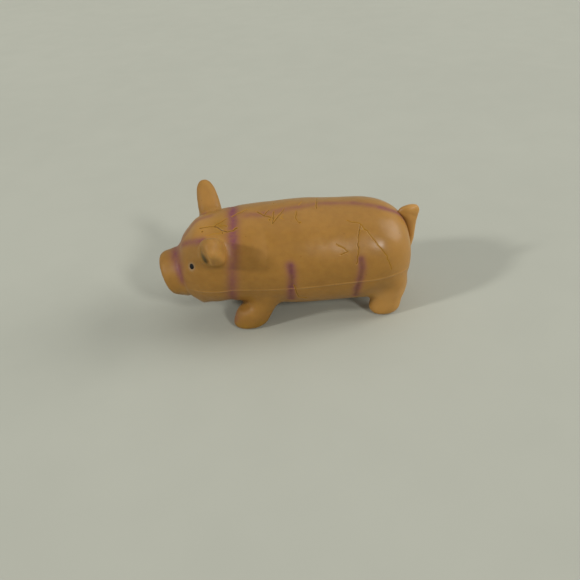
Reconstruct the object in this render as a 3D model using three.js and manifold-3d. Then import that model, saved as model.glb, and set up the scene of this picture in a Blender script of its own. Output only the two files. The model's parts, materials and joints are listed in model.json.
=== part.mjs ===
// A squeaky pig dog toy: a cast latex skin stuffed with fibre, with a bellows squeaker in its belly.
// Millimetres. +X runs from the snout to the tail, +Y to the pig's right, +Z up, and the soles are at z = 0.
// The skin is one casting, divided where it flexes: flanks, legs, ears, tail and snout each move a little.
import * as THREE from 'three';
import { mergeVertices } from 'three/addons/utils/BufferGeometryUtils.js';
import Module from 'manifold-3d';

const wasm = await Module();
wasm.setup();

// Lengths along the body, one after another from the snout to the back of the tail
const snoutLength = 16; // nose disc to the crease behind the snout
const bridgeLength = 3.5; // crease to the bridge of the nose
const foreheadLength = 5.5; // bridge to the middle of the forehead
const browLength = 8; // middle of the forehead to the brow
const templeLength = 10; // brow to the jowls
const jowlLength = 15; // jowls to the neck groove
const shoulderLength = 24; // neck groove to the shoulders
const girthLength = 30; // shoulders to the widest girth
const loinLength = 40; // widest girth to the loins
const rumpLength = 45; // loins to the end of the rump
const tailReach = 8; // end of the rump to the back of the tail

// Width, height and height above the floor of the skin at each of those stations
const noseWidth = 37;
const noseHeight = 34;
const noseLift = 26;
const creaseWidth = 41;
const creaseHeight = 38.5;
const creaseLift = 25;
const bridgeWidth = 48;
const bridgeHeight = 48;
const bridgeLift = 23.8;
const foreheadWidth = 56;
const foreheadHeight = 56;
const foreheadLift = 22.3;
const browWidth = 65;
const browHeight = 65.5;
const browLift = 20.7;
const jowlWidth = 70;
const jowlHeight = 69.5;
const jowlLift = 19.3;
const neckWidth = 70;
const neckHeight = 71.5;
const neckLift = 17.5;
const shoulderWidth = 79;
const shoulderHeight = 79;
const shoulderLift = 14.4;
const girthWidth = 83;
const girthHeight = 82;
const girthLift = 10.8;
const loinWidth = 82;
const loinHeight = 80;
const loinLift = 10;
const rumpDrop = 2; // how much lower the rump's end lies than the loins
const rumpFullness = 2.7; // exponent of the rump's end: 2 is an ellipsoid, more is blunter
const snoutEdge = 5; // rounding of the nose disc's edge
const noseTilt = 15; // degrees that the nose disc faces down

// Skin
const skinWall = 2.5;
const gap = 0.3; // clearance between neighbouring pieces
const socketGap = 0.6; // clearance between a turning root's facets and its socket
const snoutTravel = 3; // how far the snout presses in
const snoutSpigot = 5; // length of the snout's hidden root inside the head

// Flank panels
const flankLength = 72;
const flankHeight = 38;
const flankSetback = 64; // neck groove to the middle of the flank

// Legs
const foreHipSetback = 19.5; // neck groove to the front hips
const hindHipAdvance = 20.5; // hind hips to the end of the rump
const hipStance = 20; // middle of the body to a hip
const foreHipDepth = 3; // how far a front hip's centre lies above the skin's underside
const foreHipRadius = 13;
const haunchDepth = 9; // the same for a hind hip, which is a full haunch
const haunchRadius = 17.5;
const footStance = 20.5; // middle of the body to the middle of a foot
const foreFootAdvance = 11.5; // front hip to the middle of its foot, forwards
const hindFootAdvance = 1; // hind hip to the middle of its foot, forwards
const footLength = 25;
const footWidth = 20;
const soleRound = 4; // rounding of a sole's edge
const ankleHeight = 9;
const ankleLength = 24;
const ankleWidth = 19.5;
const thighWidth = 21;
const swingGap = 2.2; // clearance above a leg's shoulders, in which it swings
const legWall = 2.5;

// Ears
const earSetback = 16; // ears' middle to the neck groove
const earSeatAngle = 38; // degrees above level, around the head, of an ear's seat
const earRise = 42; // degrees above level at which an ear points out
const earRake = 6; // degrees forwards
const earRootRadius = 10.5;
const earRootDepth = 3; // how far the root's centre lies inside the skin
const earLength = 35; // from the root's centre to the tip
const earWidth = 18;
const earThickness = 13;
const earNeck = 3; // root's centre to the leaf's widest place
const earTaper = 0.8; // exponent of the leaf's outline: less is blunter
const earPlump = 0.2; // share of the thickness that swells halfway along the leaf

// Tail
const tailSeatRise = 6; // middle of the rump to the tail's root
const tailRootDepth = 3; // how far the root's centre lies inside the skin
const tailRootRadius = 7.5;
const tailHeight = 28; // root's centre to the middle of the curl's top
const tailBowHeight = 9; // root's centre to where the tail bows out
const tailBow = 1; // how far it bows out there, and draws in below the curl
const tailBendHeight = 20.5; // root's centre to the foot of the curl
const tailCurl = 8; // how far the tip turns forward over the rump
const tailCrest = 1.2; // how far forward the curl is highest
const tailTipDrop = 3; // how much lower the tip ends than the curl's top
const tailThickness = 10.5; // at the root
const tailTipThickness = 8.4;

// Squeaker, upright in the belly
const patchRadius = 17;
const ventHeadRadius = 7.5;
const ventHeadThickness = 1.4;
const ventStemRadius = 5;
const ventBoreRadius = 1.7;
const baseCollarRadius = 7.5;
const baseRadius = 15.5;
const baseThickness = 2.2;
const foldsRadius = 14.5;
const foldDepth = 2.6;
const foldCount = 4;
const foldPitch = 5.6;
const foldWall = 0.9;
const crownRadius = 14.5;
const crownTopRadius = 8.7;
const crownHeight = 5;
const crownRim = 2;
const holderRadius = 4.6;
const holderHeight = 11;
const holderFlat = 2.2; // holder's axis to the flat that the reed lies on
const clipRadius = 6.2;
const clipHeight = 3;
const reedWidth = 5;
const reedThickness = 0.4;
const reedLength = 9;
const reedLap = 1; // how far the reed covers the slot's edges
const slotRoof = 2; // holder's wall above the slot
const pocketClearance = 0.7; // wadding to the squeaker

// Facets
const skinSides = 28;
const liningSides = 18;
const limbSides = 14;
const hollowSides = 8;
const smallSides = 16;
const barrelSteps = 7;
const rumpSteps = 5;
const headSteps = 10;
const edgeSteps = 3; // of a rounded edge
const earSteps = 6;
const tailSteps = 8;

// Stations along X, with the overall length centred on the origin
const headLength = bridgeLength + foreheadLength + browLength + templeLength + jowlLength;
const barrelLength = shoulderLength + girthLength + loinLength + rumpLength;
const bodyLength = snoutLength + headLength + barrelLength;
const noseX = -(bodyLength + tailReach) / 2;
const creaseX = noseX + snoutLength;
const bridgeX = creaseX + bridgeLength;
const foreheadX = bridgeX + foreheadLength;
const browX = foreheadX + browLength;
const jowlX = browX + templeLength;
const neckX = jowlX + jowlLength;
const shoulderX = neckX + shoulderLength;
const girthX = shoulderX + girthLength;
const loinX = girthX + loinLength;
const rumpX = loinX + rumpLength;
const tailX = rumpX + tailReach;

const stations = [
  { x: noseX, width: noseWidth, height: noseHeight, lift: noseLift },
  { x: creaseX, width: creaseWidth, height: creaseHeight, lift: creaseLift },
  { x: bridgeX, width: bridgeWidth, height: bridgeHeight, lift: bridgeLift },
  { x: foreheadX, width: foreheadWidth, height: foreheadHeight, lift: foreheadLift },
  { x: browX, width: browWidth, height: browHeight, lift: browLift },
  { x: jowlX, width: jowlWidth, height: jowlHeight, lift: jowlLift },
  { x: neckX, width: neckWidth, height: neckHeight, lift: neckLift },
  { x: shoulderX, width: shoulderWidth, height: shoulderHeight, lift: shoulderLift },
  { x: girthX, width: girthWidth, height: girthHeight, lift: girthLift },
  { x: loinX, width: loinWidth, height: loinHeight, lift: loinLift },
  { x: rumpX, width: loinWidth, height: loinHeight, lift: loinLift - rumpDrop },
];

const radians = THREE.MathUtils.degToRad;
const point = (x, y, z) => new THREE.Vector3(x, y, z);

// Numbers from first to last in equal steps
function steps(first, last, count) {
  return Array.from({ length: count + 1 }, (_, i) => first + ((last - first) * i) / count);
}

// Slope of one measure of the skin at a station: level at a peak or a dip, so that the curve never overshoots
function slopeAt(i, measure) {
  if (i === 0 || i === stations.length - 1) return 0;
  const before = (stations[i][measure] - stations[i - 1][measure]) / (stations[i].x - stations[i - 1].x);
  const after = (stations[i + 1][measure] - stations[i][measure]) / (stations[i + 1].x - stations[i].x);
  return before * after > 0 ? (2 * before * after) / (before + after) : 0;
}

// One measure of the skin at x, on a smooth curve through the stations
function skinMeasure(x, measure) {
  const last = stations.length - 2;
  const i = Math.min(last, Math.max(0, stations.findIndex((station) => station.x > x) - 1));
  const from = x > stations[last + 1].x ? last : i;
  const run = stations[from + 1].x - stations[from].x;
  const t = THREE.MathUtils.clamp((x - stations[from].x) / run, 0, 1);
  const rise = t * t * (3 - 2 * t);
  const leave = t * (1 - t) * (1 - t) * run * slopeAt(from, measure);
  const arrive = t * t * (t - 1) * run * slopeAt(from + 1, measure);
  return stations[from][measure] * (1 - rise) + stations[from + 1][measure] * rise + leave + arrive;
}

// The skin's cross-section at x, drawn in all round by inset: its centre height and half sizes
function skinSection(x, inset) {
  const run = THREE.MathUtils.clamp((x - loinX) / (rumpLength - inset), 0, 1);
  const closing = (1 - run ** rumpFullness) ** (1 / rumpFullness);
  const nearNose = THREE.MathUtils.clamp(1 - (x - noseX) / snoutEdge, 0, 1);
  const edge = snoutEdge * (1 - Math.sqrt(1 - nearNose * nearNose));
  const height = skinMeasure(x, 'height');
  return {
    centre: skinMeasure(x, 'lift') + height / 2,
    halfWidth: (skinMeasure(x, 'width') / 2 - inset - edge) * closing,
    halfHeight: (height / 2 - inset - edge) * closing,
  };
}

// A ring of a loft: its centre and two half axes, turning from u to v about the direction of travel
function skinRing(x, inset) {
  const { centre, halfWidth, halfHeight } = skinSection(x, inset);
  return { centre: point(x, 0, centre), u: point(0, halfWidth, 0), v: point(0, 0, halfHeight) };
}

// A ring of the snout, upright at its back and leaning more and more towards the nose disc
const snoutBack = creaseX - snoutTravel - gap;
function snoutRing(x) {
  const ring = skinRing(x, 0);
  const forward = THREE.MathUtils.clamp((snoutBack - x) / (snoutBack - noseX), 0, 1);
  const lean = Math.tan(radians(noseTilt)) * forward;
  ring.centre.x += lean * (noseHeight / 2 - snoutEdge);
  ring.v.x = -lean * ring.v.z;
  return ring;
}

// A point on the skin's outside at x, at an angle above level around its section, on one side
function skinPoint(x, angle, side) {
  const { centre, halfWidth, halfHeight } = skinSection(x, 0);
  return point(x, side * halfWidth * Math.cos(angle), centre + halfHeight * Math.sin(angle));
}

// A closed solid from a three.js geometry
function solidOf(geometry) {
  geometry.deleteAttribute('normal');
  geometry.deleteAttribute('uv');
  const merged = mergeVertices(geometry, 1e-5);
  const corners = merged.index.array;
  const triangles = [];
  for (let i = 0; i < corners.length; i += 3) {
    const [a, b, c] = corners.slice(i, i + 3);
    if (a !== b && b !== c && c !== a) triangles.push(a, b, c);
  }
  return new wasm.Manifold(new wasm.Mesh({
    numProp: 3,
    vertProperties: new Float32Array(merged.getAttribute('position').array),
    triVerts: new Uint32Array(triangles),
  }));
}

// A closed loft through rings, ended by a point at each end (the end rings' centres unless given)
function loft(rings, sides, startTip = rings[0].centre, endTip = rings[rings.length - 1].centre) {
  const unit = rings.map((_, i) => new THREE.Vector2(1, i + 1));
  const profile = [new THREE.Vector2(0, 0), ...unit, new THREE.Vector2(0, rings.length + 1)];
  const geometry = new THREE.LatheGeometry(profile, sides);
  const position = geometry.getAttribute('position');
  for (let i = 0; i < position.count; i++) {
    const level = Math.round(position.getY(i));
    const spot = point(0, 0, 0);
    if (level === 0) spot.copy(startTip);
    else if (level === rings.length + 1) spot.copy(endTip);
    else {
      const { centre, u, v } = rings[level - 1];
      spot.copy(centre).addScaledVector(u, position.getX(i)).addScaledVector(v, -position.getZ(i));
    }
    position.setXYZ(i, spot.x, spot.y, spot.z);
  }
  return solidOf(geometry);
}

// A ball about a centre
function ball(centre, radius, sides = limbSides) {
  return solidOf(new THREE.SphereGeometry(radius, sides, sides / 2).translate(...centre.toArray()));
}

// An upright round bar between two heights
function bar(x, radius, bottom, top) {
  const shape = new THREE.CylinderGeometry(radius, radius, top - bottom, smallSides);
  return solidOf(shape.rotateX(Math.PI / 2).translate(x, 0, (bottom + top) / 2));
}

// A block between two corners
function block(low, high) {
  const size = point(high.x - low.x, high.y - low.y, high.z - low.z);
  const shape = new THREE.BoxGeometry(size.x, size.y, size.z);
  return solidOf(shape.translate(low.x + size.x / 2, low.y + size.y / 2, low.z + size.z / 2));
}

// A turned piece about an upright axis at x, from a profile of [radius, height] pairs
function turned(x, profile) {
  const outline = profile.map(([radius, height]) => new THREE.Vector2(radius, height));
  return solidOf(new THREE.LatheGeometry(outline, smallSides).rotateX(Math.PI / 2).translate(x, 0, 0));
}

const without = (solid, ...tools) => tools.reduce((left, tool) => left.subtract(tool), solid);

// Everything between two stations along X
function slice(fromX, toX) {
  const reach = girthWidth + girthHeight;
  return block(point(fromX, -reach, -reach), point(toX, reach, reach));
}

const materials = {
  latex: { color: 0xb07f45, roughness: 0.5 },
  paleLatex: { color: 0xb88a52, roughness: 0.55 },
  fibre: { color: 0xeeeae0, roughness: 1 },
  nylon: { color: 0xe6e2d6, roughness: 0.4 },
  vinyl: { color: 0xd9d6cc, roughness: 0.35 },
  brass: { color: 0xb08d4a, roughness: 0.3, metalness: 1 },
};

const pig = new THREE.Group();

// Adds a solid as a named mesh whose own origin is its pivot
function addPiece(name, solid, finish, pivot = point(0, 0, 0)) {
  const { vertProperties, triVerts } = solid.getMesh();
  const geometry = new THREE.BufferGeometry();
  geometry.setAttribute('position', new THREE.Float32BufferAttribute(vertProperties, 3));
  geometry.setIndex(Array.from(triVerts));
  geometry.translate(-pivot.x, -pivot.y, -pivot.z);
  geometry.computeVertexNormals();
  const mesh = new THREE.Mesh(geometry, new THREE.MeshStandardMaterial(materials[finish]));
  mesh.name = name;
  mesh.position.copy(pivot);
  pig.add(mesh);
}

// The barrel from the neck to the rump, drawn in by inset
const rumpMiddle = skinSection(rumpX, 0).centre;
function barrel(start, inset, sides) {
  const depth = rumpLength - inset;
  const straight = steps(start, loinX, barrelSteps);
  const closing = steps(0, Math.PI / 2, rumpSteps).slice(1, -1).map((turn) => loinX + depth * Math.sin(turn));
  const rings = [...straight, ...closing].map((x) => skinRing(x, inset));
  return loft(rings, sides, rings[0].centre, point(rumpX - inset, 0, rumpMiddle));
}

// The head from one station to another, drawn in by inset
function headForm(start, end, inset, sides) {
  return loft(steps(start, end, headSteps).map((x) => skinRing(x, inset)), sides);
}

const overrun = 1; // how far a cutting form passes the face that it opens
const torsoStart = neckX + gap / 2;
const headEnd = neckX - gap / 2;
const torsoOutside = barrel(torsoStart, 0, skinSides);
const torsoInside = barrel(torsoStart - overrun, skinWall, liningSides);
const torsoClear = (clearance) => barrel(torsoStart - overrun, -clearance, skinSides);
const headOutside = headForm(creaseX, headEnd, 0, skinSides);
const headInside = headForm(creaseX - overrun, headEnd + overrun, skinWall, liningSides);

// Legs: a hollow stub on a round hip that turns in a socket of the torso
const legs = [];
for (const [end, hipX, depth, radius, advance] of [
  ['front', neckX + foreHipSetback, foreHipDepth, foreHipRadius, foreFootAdvance],
  ['hind', rumpX - hindHipAdvance, haunchDepth, haunchRadius, hindFootAdvance],
]) {
  for (const [flank, side] of [['left', -1], ['right', 1]]) {
    const { centre, halfWidth, halfHeight } = skinSection(hipX, 0);
    const underside = centre - halfHeight * Math.sqrt(1 - (hipStance / halfWidth) ** 2);
    const hip = point(hipX, side * hipStance, underside + depth);
    legs.push({ name: `${flank}_${end}_leg`, hip, radius, foot: point(hipX - advance, side * footStance, 0) });
  }
}

function legStub({ hip, foot }, inset, sides) {
  const level = (z, length, width) => {
    const lean = THREE.MathUtils.clamp((z - soleRound) / (hip.z - soleRound), 0, 1);
    return {
      centre: point(THREE.MathUtils.lerp(foot.x, hip.x, lean), THREE.MathUtils.lerp(foot.y, hip.y, lean), z),
      u: point(length / 2 - inset, 0, 0),
      v: point(0, width / 2 - inset, 0),
    };
  };
  const edge = steps(0, Math.PI / 2, edgeSteps).map((turn) => {
    const drawnIn = 2 * soleRound * (1 - Math.sin(turn));
    return level(inset + soleRound * (1 - Math.cos(turn)), footLength - drawnIn, footWidth - drawnIn);
  });
  const ankle = level(ankleHeight, ankleLength, ankleWidth);
  return loft([...edge, ankle, level(hip.z, thighWidth, thighWidth)], sides);
}

for (const leg of legs) {
  const stub = legStub(leg, 0, limbSides).subtract(torsoClear(swingGap));
  const outside = ball(leg.hip, leg.radius).subtract(torsoInside).add(stub);
  const hollow = ball(leg.hip, leg.radius - legWall, hollowSides).add(legStub(leg, legWall, hollowSides));
  addPiece(leg.name, outside.subtract(hollow), 'latex', leg.hip);
}
const hipSockets = legs.map(({ hip, radius }) => ball(hip, radius + socketGap));

// Ears: solid leaves on a round root
const ears = [];
for (const [name, side] of [['left_ear', -1], ['right_ear', 1]]) {
  const rise = radians(earRise);
  const rake = radians(earRake);
  const level = Math.cos(rake);
  const along = point(-Math.sin(rake), side * level * Math.cos(rise), level * Math.sin(rise));
  const across = point(1, 0, 0).addScaledVector(along, -along.x).normalize();
  const through = along.clone().cross(across);
  const seat = skinPoint(neckX - earSetback, radians(earSeatAngle), side);
  ears.push({ name, along, across, through, root: seat.addScaledVector(along, -earRootDepth) });
}

function earLeaf({ along, across, through, root }) {
  const level = (reach, width, thickness) => ({
    centre: root.clone().addScaledVector(along, reach),
    u: across.clone().multiplyScalar(width / 2),
    v: through.clone().multiplyScalar(thickness / 2),
  });
  const rings = steps(0, Math.PI / 2, earSteps).slice(0, -1).map((turn) => level(
    earNeck + (earLength - earNeck) * Math.sin(turn),
    earWidth * Math.cos(turn) ** earTaper,
    earThickness * Math.cos(turn) * (1 - earPlump + earPlump * Math.sin(2 * turn)),
  ));
  return loft(rings, limbSides, rings[0].centre, root.clone().addScaledVector(along, earLength));
}

for (const ear of ears) {
  addPiece(ear.name, ball(ear.root, earRootRadius).subtract(headInside).add(earLeaf(ear)), 'latex', ear.root);
}
const earSockets = ears.map(({ root }) => ball(root, earRootRadius + socketGap));

// Tail: a solid horn turned up against the rump, on a round root
const tailSeat = tailSeatRise / (loinHeight / 2);
const tailSeatX = loinX + rumpLength * (1 - tailSeat ** rumpFullness) ** (1 / rumpFullness);
const tailRoot = point(tailSeatX - tailRootDepth, 0, rumpMiddle + tailSeatRise);
const tailTop = tailRoot.z + tailHeight;
const tailBack = tailX - tailTipThickness / 2;
const tailLine = new THREE.CatmullRomCurve3([
  point(tailRoot.x + tailRootDepth, 0, tailRoot.z),
  point((tailRoot.x + tailBack) / 2 + tailBow, 0, tailRoot.z + tailBowHeight),
  point(tailBack - tailBow, 0, tailRoot.z + tailBendHeight),
  point(tailBack - tailCrest, 0, tailTop),
  point(tailBack - tailCurl, 0, tailTop - tailTipDrop),
]);
const tailRings = steps(0, 1, tailSteps).map((t) => {
  const radius = THREE.MathUtils.lerp(tailThickness, tailTipThickness, t) / 2;
  const across = point(0, radius, 0);
  const away = across.clone().cross(tailLine.getTangent(t)).negate();
  return { centre: tailLine.getPoint(t), u: across, v: away };
});
const tailTip = tailLine.getPoint(1);
const tailForm = loft(tailRings, smallSides).add(ball(tailTip, tailTipThickness / 2));
const tailBall = ball(tailRoot, tailRootRadius).subtract(torsoInside);
addPiece('tail', tailBall.add(tailForm.subtract(torsoClear(gap))), 'latex', tailRoot);
const tailSocket = ball(tailRoot, tailRootRadius + socketGap);

// Snout: a blunt hollow cup whose root slides in the head's front opening
const snoutEdgeXs = steps(0, Math.PI / 2, edgeSteps).map((turn) => noseX + snoutEdge * (1 - Math.cos(turn)));
const snoutCup = loft([...snoutEdgeXs, snoutBack].map(snoutRing), skinSides);
const spigotEnd = creaseX + snoutSpigot;
function spigotForm(start, end, inset) {
  const { centre, halfWidth, halfHeight } = skinSection(creaseX, skinWall + gap + inset);
  const u = point(0, halfWidth, 0);
  const v = point(0, 0, halfHeight);
  return loft([start, end].map((x) => ({ centre: point(x, 0, centre), u, v })), liningSides);
}
const noseLean = Math.tan(radians(noseTilt)) * noseHeight;
const snoutHollow = spigotForm(noseX + noseLean + skinWall, spigotEnd + overrun, skinWall);
addPiece('snout', snoutCup.add(spigotForm(snoutBack - overrun, spigotEnd, 0)).subtract(snoutHollow), 'latex');

addPiece('head_skin', without(headOutside, headInside, ...earSockets), 'latex');

// Flank panels: ovals of the torso's own wall, each free in its window
const flankX = neckX + flankSetback;
function flankOval(side, margin) {
  const deep = girthWidth / 2;
  const shape = new THREE.CylinderGeometry(1, 1, deep, skinSides);
  shape.scale(flankLength / 2 - margin, 1, flankHeight / 2 - margin);
  return solidOf(shape.translate(flankX, side * deep, skinSection(flankX, 0).centre));
}
const torsoShell = torsoOutside.subtract(torsoInside);
for (const [name, side] of [['left_flank', -1], ['right_flank', 1]]) {
  addPiece(name, torsoShell.intersect(flankOval(side, gap)), 'latex');
}

// Belly patch, round the squeaker's vent
const squeakerX = (legs[0].hip.x + legs[2].hip.x) / 2;
const bellySection = skinSection(squeakerX, 0);
const bellySkin = bellySection.centre - bellySection.halfHeight;
const patchDeep = bellySection.centre;
const ventHole = bar(squeakerX, ventStemRadius + gap, 0, patchDeep);
const patchDisc = bar(squeakerX, patchRadius, 0, patchDeep);
addPiece('belly_patch', torsoShell.intersect(patchDisc).subtract(ventHole), 'paleLatex');

addPiece('torso_skin', without(
  torsoShell,
  ...hipSockets,
  tailSocket,
  flankOval(-1, 0),
  flankOval(1, 0),
  bar(squeakerX, patchRadius + gap, 0, patchDeep),
), 'latex');

// How high the lining of the belly rises under a round rim about the squeaker's axis, with its facets
function liningUnderRim(radius) {
  const heights = steps(0, Math.PI * 2, smallSides).map((turn) => {
    const { centre, halfWidth, halfHeight } = skinSection(squeakerX + radius * Math.cos(turn), skinWall);
    const facet = Math.cos(Math.PI / liningSides);
    return centre - halfHeight * facet * Math.sqrt(1 - (radius * Math.sin(turn) / halfWidth) ** 2);
  });
  return Math.max(...heights);
}

// Squeaker: vent button, base disc, folding wall and crown
const baseBottom = liningUnderRim(baseRadius) + gap;
const baseTop = baseBottom + baseThickness;
const ventTop = bellySkin - gap;
const vent = bar(squeakerX, ventHeadRadius, ventTop - ventHeadThickness, ventTop)
  .add(bar(squeakerX, ventStemRadius, ventTop - ventHeadThickness / 2, baseTop));
const ventBore = bar(squeakerX, ventBoreRadius, 0, baseTop + overrun);
addPiece('vent_button', vent.subtract(ventBore), 'nylon');

const base = bar(squeakerX, baseRadius, baseBottom, baseTop)
  .add(bar(squeakerX, baseCollarRadius, liningUnderRim(baseCollarRadius) + gap, baseTop));
addPiece('squeaker_base', base.subtract(bar(squeakerX, ventStemRadius + gap, 0, baseTop + overrun)), 'nylon');

const foldsBottom = baseTop + gap;
const foldsTop = foldsBottom + foldCount * foldPitch;
const foldLine = steps(0, foldCount * 2, foldCount * 2).map((i) => [
  foldsRadius - (i % 2 === 0 ? foldDepth : 0),
  foldsBottom + (i * foldPitch) / 2,
]);
const foldLining = foldLine.map(([radius, height]) => [radius - foldWall, height]).reverse();
addPiece('squeaker_folds', turned(squeakerX, [...foldLine, ...foldLining, foldLine[0]]), 'vinyl');

const crownBottom = foldsTop + gap;
const crownTop = crownBottom + crownHeight;
addPiece('squeaker_crown', turned(squeakerX, [
  [0, crownBottom],
  [crownRadius, crownBottom],
  [crownRadius, crownBottom + crownRim],
  [crownTopRadius, crownTop],
  [0, crownTop],
]), 'vinyl');

// Reed, clipped at its foot to the flat of a slotted holder over the vent
const holderBottom = baseTop + gap;
const holderTop = holderBottom + holderHeight;
const flatX = squeakerX + holderFlat;
const slotHalf = reedWidth / 2 - reedLap;
const slotTop = holderTop - slotRoof;
const holder = without(
  bar(squeakerX, holderRadius, holderBottom, holderTop),
  block(point(flatX, -clipRadius, 0), point(flatX + clipRadius, clipRadius, holderTop + overrun)),
  bar(squeakerX, ventBoreRadius, 0, slotTop),
  block(point(squeakerX, -slotHalf, holderBottom + clipHeight), point(flatX + overrun, slotHalf, slotTop)),
);
addPiece('reed_holder', holder, 'nylon');

const clipTop = holderBottom + clipHeight;
const reedFace = flatX + gap;
const reedBack = reedFace + reedThickness;
const reedHinge = point((reedFace + reedBack) / 2, 0, clipTop);
const reedFoot = holderBottom + gap;
addPiece('reed', block(
  point(reedFace, -reedWidth / 2, reedFoot),
  point(reedBack, reedWidth / 2, reedFoot + reedLength),
), 'brass', reedHinge);

const clipFlat = block(
  point(reedBack + gap, -clipRadius, 0),
  point(reedBack + clipRadius, clipRadius, clipTop + overrun * 2),
);
const clipSeat = bar(squeakerX, holderRadius + gap, 0, clipTop + overrun).subtract(clipFlat);
addPiece('reed_clip', bar(squeakerX, clipRadius, holderBottom, clipTop).subtract(clipSeat), 'nylon');

// Fibre filling, drawn clear of the skin, the sockets and the squeaker
const fillInset = skinWall + gap;
const pocket = bar(squeakerX, baseRadius + pocketClearance, 0, crownTop + pocketClearance);
addPiece('body_wadding', without(
  barrel(torsoStart - overrun, fillInset, liningSides).intersect(slice(torsoStart, rumpX)),
  ...hipSockets,
  tailSocket,
  pocket,
), 'fibre');
const fillStart = spigotEnd + snoutTravel + gap;
addPiece('head_wadding', without(
  headForm(creaseX - overrun, headEnd + overrun, fillInset, liningSides).intersect(slice(fillStart, headEnd)),
  ...earSockets,
), 'fibre');

export default pig;
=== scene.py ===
"""An aged squeaky pig: a cast latex skin with stub legs, leaf ears and a curled tail, stuffed with fibre."""

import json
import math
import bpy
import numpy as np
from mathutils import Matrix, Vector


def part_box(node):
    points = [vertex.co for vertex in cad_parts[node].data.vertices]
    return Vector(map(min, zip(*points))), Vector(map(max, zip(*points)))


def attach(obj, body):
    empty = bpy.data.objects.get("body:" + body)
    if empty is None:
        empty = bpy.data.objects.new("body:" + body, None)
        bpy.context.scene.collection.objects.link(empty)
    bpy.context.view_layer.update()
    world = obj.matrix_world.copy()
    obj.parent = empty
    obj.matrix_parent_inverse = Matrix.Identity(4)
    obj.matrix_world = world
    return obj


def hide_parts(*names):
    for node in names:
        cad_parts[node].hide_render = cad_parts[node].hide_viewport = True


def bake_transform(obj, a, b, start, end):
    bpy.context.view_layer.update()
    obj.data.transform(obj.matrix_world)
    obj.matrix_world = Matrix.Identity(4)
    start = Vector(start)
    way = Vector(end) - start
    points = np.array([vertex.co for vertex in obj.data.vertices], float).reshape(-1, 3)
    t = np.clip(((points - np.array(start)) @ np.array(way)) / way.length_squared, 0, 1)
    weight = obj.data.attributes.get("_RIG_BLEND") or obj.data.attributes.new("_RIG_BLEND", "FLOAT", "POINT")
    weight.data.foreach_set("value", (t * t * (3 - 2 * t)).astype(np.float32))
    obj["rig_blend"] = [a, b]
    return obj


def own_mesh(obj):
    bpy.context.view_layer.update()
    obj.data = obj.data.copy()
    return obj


bl_info = {
    "name": "Squeaky Latex Pig",
    "version": (1, 0, 0),
    "blender": (4, 5, 0),
    "location": "View3D > Sidebar > Pig",
    "description": "Casts an aged latex pig around its frame, with its filling, squeaker and stage",
    "category": "Add Mesh",
}

import bmesh
import bpy
from bpy.props import FloatProperty, FloatVectorProperty, PointerProperty
from mathutils import Matrix, Vector, noise
from mathutils.bvhtree import BVHTree
from mathutils.kdtree import KDTree

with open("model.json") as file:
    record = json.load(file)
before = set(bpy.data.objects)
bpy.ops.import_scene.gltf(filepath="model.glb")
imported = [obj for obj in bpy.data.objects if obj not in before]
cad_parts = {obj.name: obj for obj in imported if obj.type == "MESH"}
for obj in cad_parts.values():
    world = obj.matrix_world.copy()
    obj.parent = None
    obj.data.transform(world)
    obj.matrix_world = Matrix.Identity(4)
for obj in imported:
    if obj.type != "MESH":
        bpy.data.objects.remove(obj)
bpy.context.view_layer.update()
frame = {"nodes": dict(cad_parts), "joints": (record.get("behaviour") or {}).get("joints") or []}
MM = 0.001

# Places that the frame gives
NOSE_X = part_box("snout")[0].x
RUMP_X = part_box("torso_skin")[1].x
JOINTS = {joint["name"]: joint for joint in frame["joints"]}
SIDES = {"left": -1, "right": 1}
ENDS = ("front", "hind")
CAST = "whole_cast"

# Reach from the nose, width, height and lift of the skin's sections, in millimetres
STATIONS = (
    (0, 37, 34, 26),  # nose disc
    (16, 42, 39.5, 25),  # crease behind the snout
    (19.5, 48, 48, 23.8),  # bridge of the nose
    (25, 56, 56, 22.3),  # middle of the forehead
    (33, 65, 65.5, 20.7),  # brow
    (43, 70, 69.5, 19.3),  # jowls
    (58, 71, 75, 17.2),  # neck groove
    (82, 79, 78.4, 14.4),  # shoulders
    (112, 83, 82, 10.8),  # widest girth
    (152, 82, 80, 10),  # loins
    (197, 82, 80, 8),  # end of the rump
)

# Reaches of the sections where a part of the body ends
CREASE_REACH, NECK_REACH, LOIN_REACH, RUMP_REACH = (STATIONS[row][0] for row in (1, 6, -2, -1))

# Height in a leg, its reach before and behind the hip, and its width, in millimetres
FORE_LEG = (
    (0, 22, -5, 11),
    (0.5, 24.8, -2, 15.5),
    (2, 26, 0.6, 18.8),
    (4.5, 26.6, 3.2, 20.4),
    (8, 25.4, 5, 21),
    (13, 23.4, 7.6, 22),
    (17, 19.8, 10, 23.2),
    (19.5, 13.8, 11.6, 24),
    (22, 10, 13.2, 25),
    (26, 8.6, 15, 27),
    (31, 8, 14.5, 29),
    (36, 7, 12, 30.5),
    (41, 6, 9, 29),
)
HIND_LEG = (
    (0, 9.5, 4.5, 10.5),
    (0.6, 12, 6.8, 14.5),
    (2, 13.8, 8.8, 17.5),
    (4.5, 14.8, 10.6, 20),
    (8, 14.2, 11.4, 21.4),
    (11, 13.2, 11.4, 22.6),
    (15, 13.4, 12.6, 24.5),
    (20, 14.2, 14.6, 27),
    (25, 14.6, 16.2, 29),
    (31, 14, 16.2, 31),
    (37, 12, 14, 32),
    (42, 9, 10.5, 31),
)

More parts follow.
